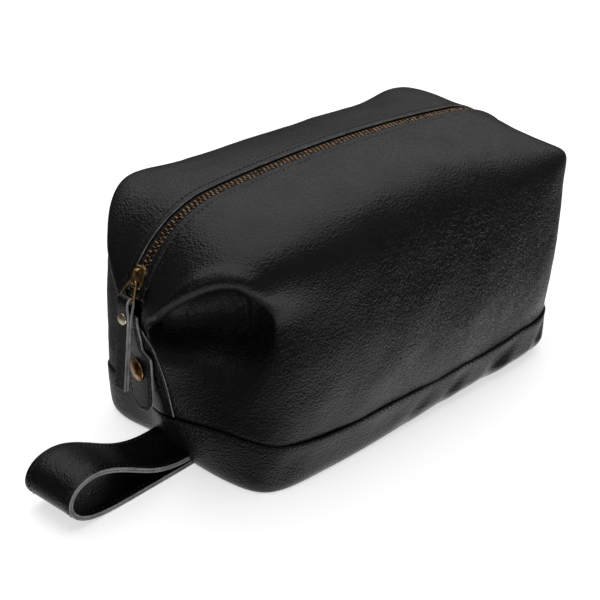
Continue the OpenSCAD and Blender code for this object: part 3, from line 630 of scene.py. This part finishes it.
# ---- base
BASE_US = np.linspace(0, LAST_U, 260)
BASE_OUT = 1.1
SEAM_ROW = 1
FLOOR_ROUND, TUCK = 2.5, 7.0
BASE_FOLDS = [(8.5, 0.45, 2.0), (7.5, 0.35, 1.1), (6.8, 0.3, 0.6), (9.7, 0.35, 1.2), (10.9, 0.3, 1.3),
              (12.0, 0.35, 0.9), (4.2, 0.6, 0.5)]


def rim_row(side):
    """The row of the side panel that the base's rim lies on: it waves a little on the near side."""
    if side == FAR:
        return np.ones(len(BASE_US))
    raised = 0.12 * smooth_step((BASE_US - 5) / 1.4) * smooth_step((9.7 - BASE_US) / 0.9)
    for u, width in ((7.75, 0.22), (9.0, 0.25)):
        raised = raised + 0.05 * np.exp(-((BASE_US - u) / width) ** 2)
    return 1 + raised


def tuck(side, us):
    """How much further the base turns under on the near side, towards the far end."""
    if side == FAR:
        return 0 * us
    return TUCK * smooth_step((us - 5.5) / 3) * smooth_step((LAST_U - us) / 2.5)


def base_side(side):
    """Rows from the rim down to the floor for one side, columns from left to right."""
    fine_vs = np.linspace(0, 1.3, 66)
    fine = skin(side, BASE_US, fine_vs)
    fine_n = normals(fine, side)
    vs = np.linspace(rim_row(side), 0, 16)
    grid, n = (np.stack([[np.interp(vs[:, c], fine_vs, source[:, c, k]) for c in range(len(BASE_US))]
                         for k in range(3)], -1).swapaxes(0, 1) for source in (fine, fine_n))
    run = skin(side, BASE_US, [0, 0.02])
    t = run[1] - run[0]
    foot = grid[-1] + BASE_OUT * n[-1]
    rows = [grid + BASE_OUT * n]
    flat_n = n[-1] * [1, 1, 0]
    flat_n /= np.linalg.norm(flat_n, axis=1, keepdims=True)
    for s in (0.15, 0.3, 0.45, 0.6, 0.72, 0.82, 0.9, 0.96, 1.0):
        drop = foot[:, 2] * s
        p = foot - t / t[:, 2:] * drop[:, None]
        p = p - (FLOOR_ROUND * s ** 4 + tuck(side, BASE_US) * s ** 1.5)[:, None] * flat_n
        p[:, 2] = foot[:, 2] * (1 - s)
        rows.append(p[None])
    lower_n = np.repeat(flat_n[None], 9, axis=0)
    return np.concatenate(rows), np.concatenate([n, lower_n])


def base_relief(points, side, level):
    """level runs from 0 at the rim to 1 at the floor."""
    height = 0.3 * waves(points, BROAD) + 0.12 * waves(points, MIDDLE) + 0.04 * waves(points, FINE)
    if side == NEAR:
        for u, width, depth in BASE_FOLDS:
            lean = BASE_US[None, :] - u + 0.55 * (level[:, None] - 0.5)
            groove = np.exp(-(lean / (0.45 * width)) ** 2) * np.sin(np.pi * level)[:, None] ** 0.6
            ridge = np.exp(-((lean - width * 0.6) / (0.5 * width)) ** 2) * level[:, None]
            height = height + depth * (0.6 * ridge - groove)
    height = height * np.sin(np.pi * np.clip(level * 0.86 + 0.08, 0, 1))[:, None]
    return height - 0.25 * np.exp(-((level - 0.045) / 0.02) ** 2)[:, None]


def base_panel():
    halves = {}
    for side in (NEAR, FAR):
        grid, n = base_side(side)
        level = np.concatenate([np.linspace(0, 0.62, 16), np.linspace(0.66, 1, 9)])
        grid = grid + n * base_relief(grid, side, level)[:, :, None]
        grid[-1, :, 2] = 0
        halves[side] = (grid, n)
    grid = np.concatenate([halves[NEAR][0], halves[FAR][0][:, ::-1]], axis=1)
    n = np.concatenate([halves[NEAR][1], halves[FAR][1][:, ::-1]], axis=1)
    inner = grid[0] - 1.5 * n[0]
    lip = grid[0] - 0.5 * n[0] + [0, 0, 0.35]
    rings = [inner[None] - [0, 0, 3.0], inner[None], lip[None], grid]
    floor = grid[-1]
    for scale in (0.97, 0.9, 0.7, 0.45, 0.2, 0.04):
        ring = floor * [scale, scale, 1]
        rings.append(ring[None])
    rings = np.concatenate(rings)
    rows, cols = rings.shape[:2]
    faces = grid_faces(rows, cols, wrap=True, flip=True).tolist()
    faces.append([(rows - 1) * cols + k for k in range(cols)])
    obj = make("base_panel", rings.reshape(-1, 3), faces, [BASE_LEATHER])
    finish_piece(obj, "root", "base_leather", "base_panel")
    path, up = (np.concatenate([values[SEAM_ROW], values[SEAM_ROW][:1]]) for values in (grid, n))
    stitch_row("base_seam_stitching", path, up)


base_panel()

# ---- zip
def zip_point(heading, y, rise):
    """Points across the zip: rise is measured out of the bag from the middle of the teeth."""
    x, z = zip_line(heading, rise - ZIP_DEPTH)
    return np.stack([x, np.broadcast_to(y, np.shape(x)), z], -1)


TAPE_PROFILE = [(1.5, -0.35), (1.35, 0.1), (1.6, 0.6), (2.2, 0.8), (2.8, 0.6), (3.2, 0.34), (5.2, 0.3),
                (7.4, 0.3),
                (7.4, -0.3), (4.5, -0.3), (2.6, -0.45)]


def zip_tape(side, name):
    headings = heading_at(np.linspace(-ZIP_RUN, ZIP_RUN, 360))
    rings = np.array([[zip_point(h, side * y, rise) for y, rise in TAPE_PROFILE] for h in headings])
    obj = make(name, rings.reshape(-1, 3), tube_faces(*rings.shape[:2], flip=side == NEAR), [TAPE])
    finish_piece(obj, "root", "zip_tape", name)


TOOTH_PITCH = 3.0
TEETH_RUN = ZIP_RUN - 11
# Rings of one tooth: distance from the middle of the zip, half-length along it, half-height.
TOOTH_RINGS = [(3.2, 0.3, 0.5), (3.05, 0.62, 1.0), (2.6, 0.74, 1.2), (1.6, 0.75, 1.2), (1.0, 0.7, 1.1),
               (0.55, 0.5, 0.9), (0.0, 0.56, 0.85), (-0.45, 0.6, 0.75), (-0.72, 0.3, 0.4)]
SQUARE = [(1, -0.55), (1, 0.55), (0.6, 1), (-0.6, 1), (-1, 0.55), (-1, -0.55), (-0.6, -1), (0.6, -1)]


def zip_teeth(side, name):
    shift = 0 if side == NEAR else TOOTH_PITCH / 2
    count = int(2 * (TEETH_RUN - shift) / TOOTH_PITCH) + 1
    points, faces = [], []
    for k in range(count):
        h = heading_at(-TEETH_RUN + shift + k * TOOTH_PITCH)
        centre = zip_point(h, 0, 0)
        along, up = np.array([math.cos(h), 0, -math.sin(h)]), np.array([math.sin(h), 0, math.cos(h)])
        start = len(points)
        for y, length, height in TOOTH_RINGS:
            points += [centre + [0, side * y, 0] + a * length * along + b * height * up for a, b in SQUARE]
        faces += tube_faces(len(TOOTH_RINGS), len(SQUARE), start=start, flip=side == FAR)
    finish_piece(make(name, points, faces, [TEETH_BRASS]), "root", "antique_brass", name)


for side, label in SIDES:
    zip_tape(side, "zip_tape_" + label)
    zip_teeth(side, "zip_teeth_" + label)


class Place:
    """A local frame in mm: an origin and three axes."""

    def __init__(self, origin, x, y, z):
        self.origin, self.axes = np.array(origin, float), np.array([x, y, z], float)

    def __call__(self, points):
        return self.origin + np.asarray(points, float) @ self.axes


def on_zip(heading):
    """As in the CAD part: +Z out of the bag, +X down towards the nearer end."""
    sign = -1 if heading < 0 else 1
    origin = zip_point(np.float64(heading), 0, 0)
    along = np.array([math.cos(heading), 0, -math.sin(heading)]) * sign
    return Place(origin, along, (0, sign, 0), (math.sin(heading), 0, math.cos(heading)))


def brass_block(place, centre, size, radius):
    """A brass block with round edges, placed in a local frame."""
    n = 20
    angles = np.linspace(0, 2 * np.pi, n, endpoint=False)
    rings = []
    core = np.array(size) / 2 - radius
    for lat in np.linspace(-np.pi / 2, np.pi / 2, n // 2):
        c, s = math.cos(lat), math.sin(lat)
        x = np.sign(np.cos(angles + 1e-6)) * core[0] + radius * c * np.cos(angles)
        y = np.sign(np.sin(angles + 1e-6)) * core[1] + radius * c * np.sin(angles)
        rings.append(np.stack([x, y, np.full(n, math.copysign(core[2], s) + radius * s)], 1))
    return make("block", place(np.concatenate(rings) + centre), tube_faces(len(rings), n), [BRASS])


STOP_HEADING = math.radians(69.5)


def join(objects, name):
    """Joins mesh objects into one."""
    first = objects[0]
    with bpy.context.temp_override(active_object=first, selected_editable_objects=objects,
                                   selected_objects=objects):
        bpy.ops.object.join()
    first.name = first.data.name = name
    return first


def zip_stops():
    place = on_zip(-STOP_HEADING)
    tops = [brass_block(place, (0, side * 1.8, 0), (2.6, 2.4, 2.4), 0.6) for side in (NEAR, FAR)]
    finish_piece(join(tops, "zip_top_stops"), "root", "antique_brass", "zip_top_stops")
    place = on_zip(STOP_HEADING)
    box = brass_block(place, (-0.6, 0, 0), (4.2, 6.0, 2.4), 0.7)
    pin = brass_block(place, (1.9, 0, 0.2), (1.6, 4.2, 1.7), 0.6)
    finish_piece(join([box, pin], "zip_bottom_stop"), "root", "antique_brass", "zip_bottom_stop")


zip_stops()

# ---- slider
SLIDER_HEADING = math.radians(61)
SLIDER_L, SLIDER_W = 13.0, 10.0
PLATE_LOW, PLATE_T = 1.7, 1.2
BRIDGE_HIGH = 3.6
# Rings of a plate from its middle out over the edge and back underneath: share of its size, height.
PLATE_RINGS = [(0.02, 1), (0.3, 1), (0.55, 1), (0.7, 1), (0.78, 1), (0.84, 1), (0.9, 1), (0.95, 1),
               (0.985, 0.8), (1.0, 0.5), (0.985, 0.2), (0.95, 0), (0.6, 0), (0.02, 0)]


def sweep(path, section, name, material, closed_path=False, up=(0, 1, 0), place=None):
    """Sweeps a closed section along a path; up is the section's second axis where it is across the path."""
    path, section = np.asarray(path, float), np.asarray(section, float)
    if closed_path:
        tangent = np.roll(path, -1, axis=0) - np.roll(path, 1, axis=0)
    else:
        tangent = np.gradient(path, axis=0)
    tangent = unit(tangent)
    across = unit(np.cross(tangent, np.asarray(up, float)))
    top = np.cross(across, tangent)
    rings = path[:, None] + section[None, :, :1] * across[:, None] + section[None, :, 1:] * top[:, None]
    count, sides = rings.shape[:2]
    faces = (grid_faces(count + 1, sides, wrap=True) % (count * sides) if closed_path
             else tube_faces(count, sides))
    points = rings.reshape(-1, 3)
    return make(name, place(points) if place else points, faces, [material])


def round_section(a, b=None, sides=16, power=1.0):
    """An ellipse, or with power below 1 a squarer shape, as points around it."""
    t = np.arange(sides) * 2 * np.pi / sides
    b = a if b is None else b
    return np.stack([a * np.sign(np.cos(t)) * np.abs(np.cos(t)) ** power,
                     b * np.sign(np.sin(t)) * np.abs(np.sin(t)) ** power], 1)


def slider_plate(place, z, thickness, crown, name):
    """One plate: wide at the mouth, narrower at the tail, with raised rims along both sides."""
    sides = 64
    t = np.arange(sides) * 2 * np.pi / sides
    c, s = np.cos(t), np.sin(t)
    outline = np.stack([SLIDER_L / 2 * np.sign(c) * np.abs(c) ** 0.45,
                        SLIDER_W / 2 * np.sign(s) * np.abs(s) ** 0.4 * (1 - 0.07 * (c + 1) / 2)], 1)
    points = []
    for r, level in PLATE_RINGS:
        rim = crown * math.exp(-((r - 0.88) / 0.06) ** 2) if level == 1 else 0
        dome = 0.35 * crown * (1 - r * r) if level == 1 else 0
        points.append(np.column_stack([outline * r, np.full(sides, z + thickness * level + rim + dome)]))
    faces = tube_faces(len(PLATE_RINGS), sides, flip=True)
    return make(name, place(np.concatenate(points)), faces, [BRASS])


def slider():
    place = on_zip(-SLIDER_HEADING)
    parts = [slider_plate(place, PLATE_LOW, PLATE_T, 0.3, "plate"),
             slider_plate(place, -PLATE_LOW - 0.3 - PLATE_T, PLATE_T, 0.0, "plate_low")]
    for side in (NEAR, FAR):
        for z in (PLATE_LOW - 0.45, -PLATE_LOW - 0.3 + 0.45):
            parts.append(brass_block(place, (0, side * 4.55, z), (9.4, 0.85, 1.5), 0.35))
    parts.append(brass_block(place, (-4.5, 0, -0.15), (1.1, 0.9, 4.2), 0.4))
    finish_piece(join(parts, "slider_body"), "slider", "antique_brass", "slider_body")
    base, top = PLATE_LOW + PLATE_T, BRIDGE_HIGH - 0.4
    arch = [(-4.4, -0.3), (-4.45, 0.6), (-4.3, 1.5), (-3.7, 2.5), (-2.6, top - 0.1), (-1.2, top - 0.02),
            (0.6, top), (2.4, top - 0.04), (3.6, 2.6), (4.2, 1.6), (4.45, 0.6), (4.4, -0.3)]
    line = smooth_line([(x, 0, base + z) for x, z in arch], 56)
    bridge = sweep(line, round_section(0.55, 1.35, 20, 0.6), "slider_bridge", BRASS, place=place)
    finish_piece(bridge, "slider", "antique_brass", "slider_bridge")
    return place


SLIDER_PLACE = slider()

# ---- ring and pull
RING_PIN_X = 2.4
RING_WIRE_R = 0.8
RING_L, RING_W, RING_CORNER = 12.0, 11.2, 3.4
RING_TOP_SHARE = 0.5
RING_LEAN = math.radians(30)
RING_PIN = SLIDER_PLACE([RING_PIN_X, 0, PLATE_LOW + PLATE_T + BRIDGE_HIGH - 1 - RING_WIRE_R - 0.1])
RING_DOWN = np.array([-math.sin(RING_LEAN), 0, -math.cos(RING_LEAN)])
PULL_PIN = RING_PIN + RING_L * RING_DOWN


def rounded_loop(half_x, half_y, corner, steps=10):
    points = []
    for k, (sx, sy) in enumerate([(1, 1), (-1, 1), (-1, -1), (1, -1)]):
        for a in np.linspace(0, np.pi / 2, steps):
            a += k * np.pi / 2
            points.append((sx * (half_x - corner) + corner * math.cos(a),
                           sy * (half_y - corner) + corner * math.sin(a)))
    return np.array(points)


def pull_ring():
    loop = rounded_loop(RING_L / 2, RING_W / 2, RING_CORNER)
    taper = smooth_step((loop[:, 0] + RING_L / 2) / (0.75 * RING_L))
    loop[:, 1] *= RING_TOP_SHARE + (1 - RING_TOP_SHARE) * taper
    middle = RING_PIN + RING_DOWN * RING_L / 2
    path = middle + loop[:, :1] * RING_DOWN + loop[:, 1:] * np.array([0, 1.0, 0])
    normal = np.cross(RING_DOWN, [0, 1, 0])
    obj = sweep(path, round_section(RING_WIRE_R, sides=14), "pull_ring", BRASS, closed_path=True, up=normal)
    finish_piece(obj, "ring", "antique_brass", "pull_ring")


pull_ring()

PULL_TURN = Euler([math.radians(a) for a in (4, 4, 5)], "XYZ")
PULL_PLACE = Place(PULL_PIN, *np.array(PULL_TURN.to_matrix()).T)
PULL_L, PULL_W, PULL_T = 55.0, 8.0, 3.8
LAYER_T = 1.7


def strip(path, normal, across, width, thickness, name):
    """A leather strip with raw edges. The path is its middle line, and the normal points to its outside."""
    half, thick = width / 2, thickness / 2
    flat = [0.3 - half, -half * 0.6, -half * 0.2, half * 0.2, half * 0.6, half - 0.3]
    edge = [(half - 0.08, thick - 0.16), (half, 0), (half - 0.08, 0.16 - thick)]
    outline = [(y, thick) for y in flat] + edge
    section = np.array(outline + [(-y, -z) for y, z in outline])
    rings = (path[:, None] + section[None, :, :1] * np.asarray(across, float)
             + section[None, :, 1:] * normal[:, None])
    count, sides = rings.shape[:2]
    edges = {*range(len(flat) - 1, len(outline)), *range(sides - len(edge) - 1, sides)}
    slots = [int(k % sides in edges) for k in range((count - 1) * sides)] + [1, 1]
    return make(name, rings.reshape(-1, 3), tube_faces(count, sides), [STRAP_LEATHER, RAW], slots)


def pull_strap():
    gap = LAYER_T / 2 + 0.05
    fold = 2.25
    line = [(gap + 0.25, -PULL_L), (gap + 0.1, -46), (gap, -34), (gap, -22), (gap, -12), (gap + 0.25, -7.5),
            (fold - 0.25, -3.6), (fold + 0.1, -0.6), (fold * 0.85, 1.9), (0, 3.1), (-fold * 0.85, 1.9),
            (-fold - 0.1, -0.6), (0.25 - fold, -3.6), (-gap - 0.25, -7.5), (-gap, -12), (-gap, -22),
            (-gap, -34),
            (-gap - 0.1, -46), (-gap - 0.2, 0.4 - PULL_L)]
    line = smooth_line([(x, 0, z) for x, z in line], 150)
    normal = np.cross([0, 1, 0], unit(np.gradient(line, axis=0)))
    axes = PULL_PLACE.axes
    obj = strip(PULL_PLACE(line), normal @ axes, axes[1], PULL_W, LAYER_T, "pull_strap")
    finish_piece(obj, "pull", "strap_leather", "pull_strap")


pull_strap()


def revolve(place, profile, name, material, sides, worn):
    """Turns a profile of (radius, height) about the local Z axis; worn is the polish of each ring."""
    profile = np.asarray(profile, float)
    a = np.arange(sides) * 2 * np.pi / sides
    rings = np.stack([profile[:, :1] * np.cos(a), profile[:, :1] * np.sin(a),
                      np.repeat(profile[:, 1:], sides, axis=1)], -1)
    obj = make(name, place(rings.reshape(-1, 3)), tube_faces(len(profile), sides), [material])
    paint(obj, "worn", np.repeat(worn, sides))
    return obj


def cap_profile(d, h, shank_r, shank_l):
    """A cap with a rolled rim and a low dome."""
    r = d / 2
    return ([(0.05, -shank_l), (shank_r, -shank_l), (shank_r, 0), (r - 0.5, 0), (r - 0.12, 0.1), (r, 0.4),
             (r - 0.1, 0.75), (r - 0.35, 0.98), (r - 0.7, 1.06), (r - 1.0, 1.1), (r - 1.3, 1.16)]
            + [(max((r - 1.3) * (1 - k / 8), 0.05), 1.16 + (h - 1.16) * math.sin(k / 8 * math.pi / 2))
               for k in range(1, 9)])


def pull_rivet():
    x, y, z = PULL_PLACE.axes
    head = Place(PULL_PLACE([-PULL_T / 2 + 0.15, 0, -10]), z, y, -x)
    worn = [0, 0, 0, 0.2, 0.6, 1, 1, 1, 0.8, 0.5, 0.5] + [0.5 + 0.06 * k for k in range(8)]
    obj = revolve(head, cap_profile(7, 1.5, 1.2, PULL_T - 0.3), "pull_rivet", PALE_BRASS, 40, worn)
    finish_piece(obj, "pull", "pale_brass", "pull_rivet")


pull_rivet()

# ---- end tabs
UNDERLAY_DEPTH, UNDERLAY_T, TAB_T = 0.6, 0.9, 1.6
TAB_DEPTH = UNDERLAY_DEPTH + UNDERLAY_T + 0.55
TAB_W, NECK_W, TAB_LOW, SHOULDER_Z = 24.5, 12.5, 40.0, 79.0
UNDERLAY_V, UNDERLAY_W = (1.12, 4.8), (29, 15)
TALL_V = np.linspace(1.0, 6.6, 600)
RIVET_V = 2.33


def nose(end, ys, vs, depth):
    """Points at distance ys from the keel, for each row v, a depth above the skin. Rows by v."""
    us = np.linspace(0, 3, 90) if end == LEFT else np.linspace(LAST_U - 3, LAST_U, 90)
    from_keel = slice(None, None, -end)
    halves = []
    for side in (NEAR, FAR):
        vgrid = np.concatenate([vs, vs + 0.01])
        grid = skin(side, us, vgrid)
        along = grid[len(vs):] - grid[:len(vs)]
        n = np.cross(np.gradient(grid[:len(vs)], axis=1), along)
        n = -side * unit(n)
        halves.append((grid[:len(vs), from_keel], n[:, from_keel]))
    p = np.concatenate([halves[0][0][:, ::-1], halves[1][0]], axis=1)
    n = np.concatenate([halves[0][1][:, ::-1], halves[1][1]], axis=1)
    out = []
    for i in range(len(vs)):
        key = np.maximum.accumulate(p[i, :, 1])
        q = p[i] + depth * n[i]
        out.append(np.stack([np.interp(ys[i], key, q[:, k]) for k in range(3)], 1))
    return np.array(out)


def tab_half(z):
    below = TAB_LOW + TAB_W / 2 - z
    round_end = np.sqrt(np.maximum((TAB_W / 2) ** 2 - below ** 2, 0.3))
    neck = NECK_W / 2 + (TAB_W - NECK_W) / 2 * (1 - smooth_step((z - SHOULDER_Z) / 5 + 0.5))
    return np.where(below > 0, round_end, neck)


def keel_height(end, vs):
    return skin(NEAR, [0.0] if end == LEFT else [float(LAST_U)], vs)[:, 0, 2]


FRONT_Y = 9
STIFF_V = 2.75
TAB_WRAP, TAB_TILT = 0.006, 0.1


def tab_bend(ys):
    return TAB_WRAP * ys ** 2 + TAB_TILT * ys


def on_stiff_tab(end, ys, vs, depth):
    """Points on the wide part of a tab, which is stiff, turned a little and hangs straight down."""
    held = np.linspace(-FRONT_Y, FRONT_Y, 5)
    reach = nose(end, np.tile(held, (len(vs), 1)), np.maximum(vs, STIFF_V), 0.0)
    front = (end * reach[:, :, 0] + tab_bend(held)).max(axis=1)
    x = end * (front[:, None] + depth - tab_bend(ys))
    return np.stack([x, ys, np.repeat(keel_height(end, vs)[:, None], ys.shape[1], axis=1)], -1)


def on_tab(end, ys, vs, depth):
    flat = on_stiff_tab(end, ys, vs, depth)
    wrapped = nose(end, ys, vs, depth)
    share = smooth_step((vs - 3.2) / 1.2)[:, None, None]
    return (1 - share) * flat + share * wrapped


def outward(grid, end):
    n = np.cross(np.gradient(grid, axis=1), np.gradient(grid, axis=0))
    n /= np.maximum(np.linalg.norm(n, axis=2, keepdims=True), 1e-9)
    return n * np.sign(n[:, :, :1] * end + 1e-9)


def leather_layer(end, surface, vs, halves, depth, thickness, name, groove):
    """A piece of leather over a nose, with raw edges; groove is how far the stitches lie from its edge."""
    across = np.concatenate([[-1, -0.98], np.linspace(-0.95, 0.95, 37), [0.98, 1]])
    ys = halves[:, None] * across[None]
    top, low = surface(end, ys, vs, depth + thickness), surface(end, ys, vs, depth)
    n = outward(top, end)
    z = top[:, :, 2]
    run = np.concatenate([[0], np.cumsum(np.linalg.norm(np.diff(top[:, len(across) // 2], axis=0), axis=1))])
    inside = halves[:, None] - np.abs(ys)
    if surface is on_tab:
        centre = TAB_LOW + TAB_W / 2
        inside = np.where(z < centre, TAB_W / 2 - np.hypot(ys, centre - z), inside)
        inside = np.minimum(inside, run[-1] - run[:, None])
    relief = -0.35 * np.exp(-(inside / 0.4) ** 2) - 0.3 * np.exp(-((inside - groove) / 0.5) ** 2)
    relief += 0.15 * waves(top, MIDDLE) * smooth_step(inside / 3)
    top = top + n * relief[:, :, None]
    points, faces, flags = slab(top, low, flip=end == RIGHT)
    cols = len(across)
    column = np.arange((len(vs) - 1) * (cols - 1)) % (cols - 1)
    flags[:len(column)][(column == 0) | (column == cols - 2)] = 1
    obj = make(name, points, faces, [STRAP_LEATHER, RAW], flags)
    finish_piece(obj, "root", "strap_leather", name)


STITCH_INSET = 2.3


def tab_stitching(end, prefix):
    heights = keel_height(end, TALL_V)
    centre, radius = TAB_LOW + TAB_W / 2, TAB_W / 2 - STITCH_INSET
    angles = np.linspace(0, np.pi / 2, 60)[:-1]
    round_z, round_half = centre - radius * np.cos(angles), radius * np.sin(angles)
    up_z = np.linspace(centre, np.interp(6.2, TALL_V, heights), 200)
    z = np.concatenate([round_z, up_z])
    half = np.concatenate([round_half, tab_half(up_z) - STITCH_INSET])
    vs = np.interp(z, heights, TALL_V)
    rows = on_tab(end, np.stack([-half, half], 1), vs, TAB_DEPTH + TAB_T - 0.25)
    above = on_tab(end, np.stack([-half, half], 1), vs, TAB_DEPTH + TAB_T + 0.75)
    up = above - rows
    path = np.concatenate([rows[::-1, 0], rows[1:, 1]])
    stitch_row(prefix + "_tab_stitching", path, np.concatenate([up[::-1, 0], up[1:, 1]]))


def end_tab(end, prefix):
    vs = np.linspace(*UNDERLAY_V, 60)
    t = smooth_step((vs - UNDERLAY_V[0]) / (UNDERLAY_V[1] - UNDERLAY_V[0]))
    half = (UNDERLAY_W[0] + (UNDERLAY_W[1] - UNDERLAY_W[0]) * t) / 2
    leather_layer(end, nose, vs, half, UNDERLAY_DEPTH, UNDERLAY_T, prefix + "_end_underlay", 2.0)
    first = np.interp(TAB_LOW + 0.012, keel_height(end, TALL_V), TALL_V)
    vs = np.concatenate([first + (1.8 - first) * np.linspace(0, 1, 34) ** 2, np.linspace(1.8, 2.7, 20)[1:],
                         np.linspace(2.7, 3.4, 22)[1:], np.linspace(3.4, 6.4, 40)[1:]])
    leather_layer(end, on_tab, vs, tab_half(keel_height(end, vs)), TAB_DEPTH, TAB_T, prefix + "_end_tab",
                  STITCH_INSET)
    tab_stitching(end, prefix)
    middle = on_stiff_tab(end, np.zeros((1, 1)), np.array([RIVET_V]), TAB_DEPTH + TAB_T + 0.35)[0, 0]
    out = np.array([end, TAB_TILT, 0]) / math.hypot(1, TAB_TILT)
    up = np.array([0, 0, 1.0])
    head = Place(middle, np.cross(up, out), up, out)
    worn = [0, 0, 0, 0.3, 0.8, 1, 1, 1, 0.9, 0.45, 0.15] + [0.1, 0.15, 0.2, 0.25, 0.3, 0.35, 0.4, 0.4]
    cap = revolve(head, cap_profile(13, 2.2, 1.9, 5.5), prefix + "_rivet_cap", RIVET_BRASS, 64, worn)
    finish_piece(cap, "root", "rivet_brass", prefix + "_rivet_cap")


end_tab(LEFT, "left")
end_tab(RIGHT, "right")

# ---- wrist strap
STRAP_W, STRAP_T = 38.0, 1.4
STRAP_YAW = math.radians(5)
# Distance from the root and height: out along the floor, round the loop and back into the seam.
STRAP_LINE = [(-14, 1.7), (0, 1.6), (13, 1.6), (26, 1.6), (40, 1.6), (55, 1.7), (70, 3), (81, 8), (86, 17),
              (80, 27), (66, 30), (53, 26), (40, 19), (28, 12), (15, 7), (0, 5.2), (-14, 6.2)]
STRAP_OUT = np.array([-math.cos(STRAP_YAW), -math.sin(STRAP_YAW), 0])
STRAP_ACROSS = np.array([-math.sin(STRAP_YAW), math.cos(STRAP_YAW), 0])
STRAP_ROOT = np.array([-141.2, 2, 0])


def wrist_strap():
    axes = np.array([STRAP_OUT, STRAP_ACROSS, (0, 0, 1)])
    line = smooth_line([(d, 0, z) for d, z in STRAP_LINE], 260)
    tangent = unit(np.gradient(line, axis=0))
    normal = np.stack([tangent[:, 2], 0 * tangent[:, 0], -tangent[:, 0]], 1) @ axes
    for name, side in (("wrist_strap_outer", 1), ("wrist_strap_inner", -1)):
        path = STRAP_ROOT + line @ axes + side * (0.05 + STRAP_T / 2) * normal
        obj = strip(path[::side], side * normal[::side], STRAP_ACROSS, STRAP_W, STRAP_T, name)
        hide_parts(name)
        pieces = [obj]
        for label, y in (("near", -STRAP_W / 2 + 3), ("far", STRAP_W / 2 - 3)):
            face = path + side * normal * (STRAP_T / 2 - 0.12) + y * STRAP_ACROSS
            pieces.append(stitch_row(f"{name}_{label}_stitching", face[4:-4], side * normal[4:-4],
                                     body=None))
        for piece in pieces:
            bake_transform(piece)


wrist_strap()

# ---- pieces kept from the CAD
for name, material in (("base_lining", LINING), ("base_board", BOARD),
                       ("left_rivet_back", RIVET_BRASS), ("right_rivet_back", RIVET_BRASS)):
    for material_slot in bpy.data.objects[name].material_slots:
        material_slot.material = material


# ---- camera, floor and light
def aim(obj, location, target):
    obj.location = location
    obj.rotation_mode = "QUATERNION"
    obj.rotation_quaternion = (Vector(target) - Vector(location)).to_track_quat("-Z", "Y")


def camera():
    azimuth, elevation, distance = math.radians(-43.03), math.radians(27.38), 0.81531
    target = Vector((-0.03474, 0, 0.06587))
    back = Vector((math.sin(azimuth) * math.cos(elevation), -math.cos(azimuth) * math.cos(elevation),
                   math.sin(elevation)))
    data = bpy.data.cameras.new("camera")
    data.lens, data.sensor_width = 80, 36
    obj = link(bpy.data.objects.new("camera", data))
    aim(obj, target + back * distance, target)
    bpy.context.scene.camera = obj


def soft_light(name, location, target, size, power):
    data = bpy.data.lights.new(name, "AREA")
    data.shape, data.size, data.size_y, data.energy = "RECTANGLE", size[0], size[1], power
    aim(link(bpy.data.objects.new(name, data)), location, target)


# How bright the studio is seen at each height, from straight down to straight up: a white table
# below, a dim room around and a soft ceiling.
WORLD_HEIGHTS = [-0.8, -0.6, -0.45, -0.3, -0.15, 0.0, 0.3, 0.6]
WORLD_LEVELS = [1.0, 0.8, 0.46, 0.14, 0.05, 0.06, 0.2, 0.05]


def studio():
    half = 3000
    floor = make("floor", [(-half, -half, 0), (half, -half, 0), (half, half, 0), (-half, half, 0)],
                 [(0, 1, 2, 3)], [])
    material, tree, bsdf = shader("floor_paper", Roughness=0.6, Emission_Color=(1, 1, 1, 1),
                                  Emission_Strength=0.62)
    tone = noise(tree, 3)
    mix_colour(tree, bsdf, tone, (0.86, 0.86, 0.86), (0.9, 0.9, 0.9))
    floor.data.materials.append(material)
    floor.visible_glossy = False
    world = bpy.data.worlds.new("studio")
    world.use_nodes = True
    tree = world.node_tree
    direction = node(tree, "ShaderNodeTexCoord")
    split = node(tree, "ShaderNodeSeparateXYZ")
    tree.links.new(direction.outputs["Generated"], split.inputs["Vector"])
    shade = node(tree, "ShaderNodeFloatCurve")
    curve = shade.mapping.curves[0]
    for point, level in zip(WORLD_HEIGHTS, WORLD_LEVELS):
        curve.points.new((point + 1) / 2, level)
    shade.mapping.update()
    tree.links.new(ramp(tree, split.outputs["Z"], -1, 1, 0, 1), shade.inputs["Value"])
    facing = node(tree, "ShaderNodeVectorMath", operation="DOT_PRODUCT")
    facing.inputs[1].default_value = (0.7, -0.7, 0)
    tree.links.new(direction.outputs["Generated"], facing.inputs[0])
    side = ramp(tree, facing.outputs["Value"], -0.7, 0.3, 0.6, 1.3)
    backdrop = node(tree, "ShaderNodeLightPath").outputs["Is Camera Ray"]
    shaded = math_node(tree, "MULTIPLY", shade.outputs["Value"], side)
    tree.links.new(math_node(tree, "MAXIMUM", shaded, backdrop),
                   tree.nodes["Background"].inputs["Strength"])
    tree.nodes["Background"].inputs["Color"].default_value = (1, 1, 1, 1)
    bpy.context.scene.world = world
    bpy.context.scene.view_settings.view_transform = "Standard"
    soft_light("overhead", (0.55, 0.45, 1.55), (0.2, 0, 0), (3.0, 2.8), 25)
    soft_light("side", (-1.0, -0.2, 0.8), (0, 0, 0.08), (0.3, 0.3), 0.8)


camera()
studio()
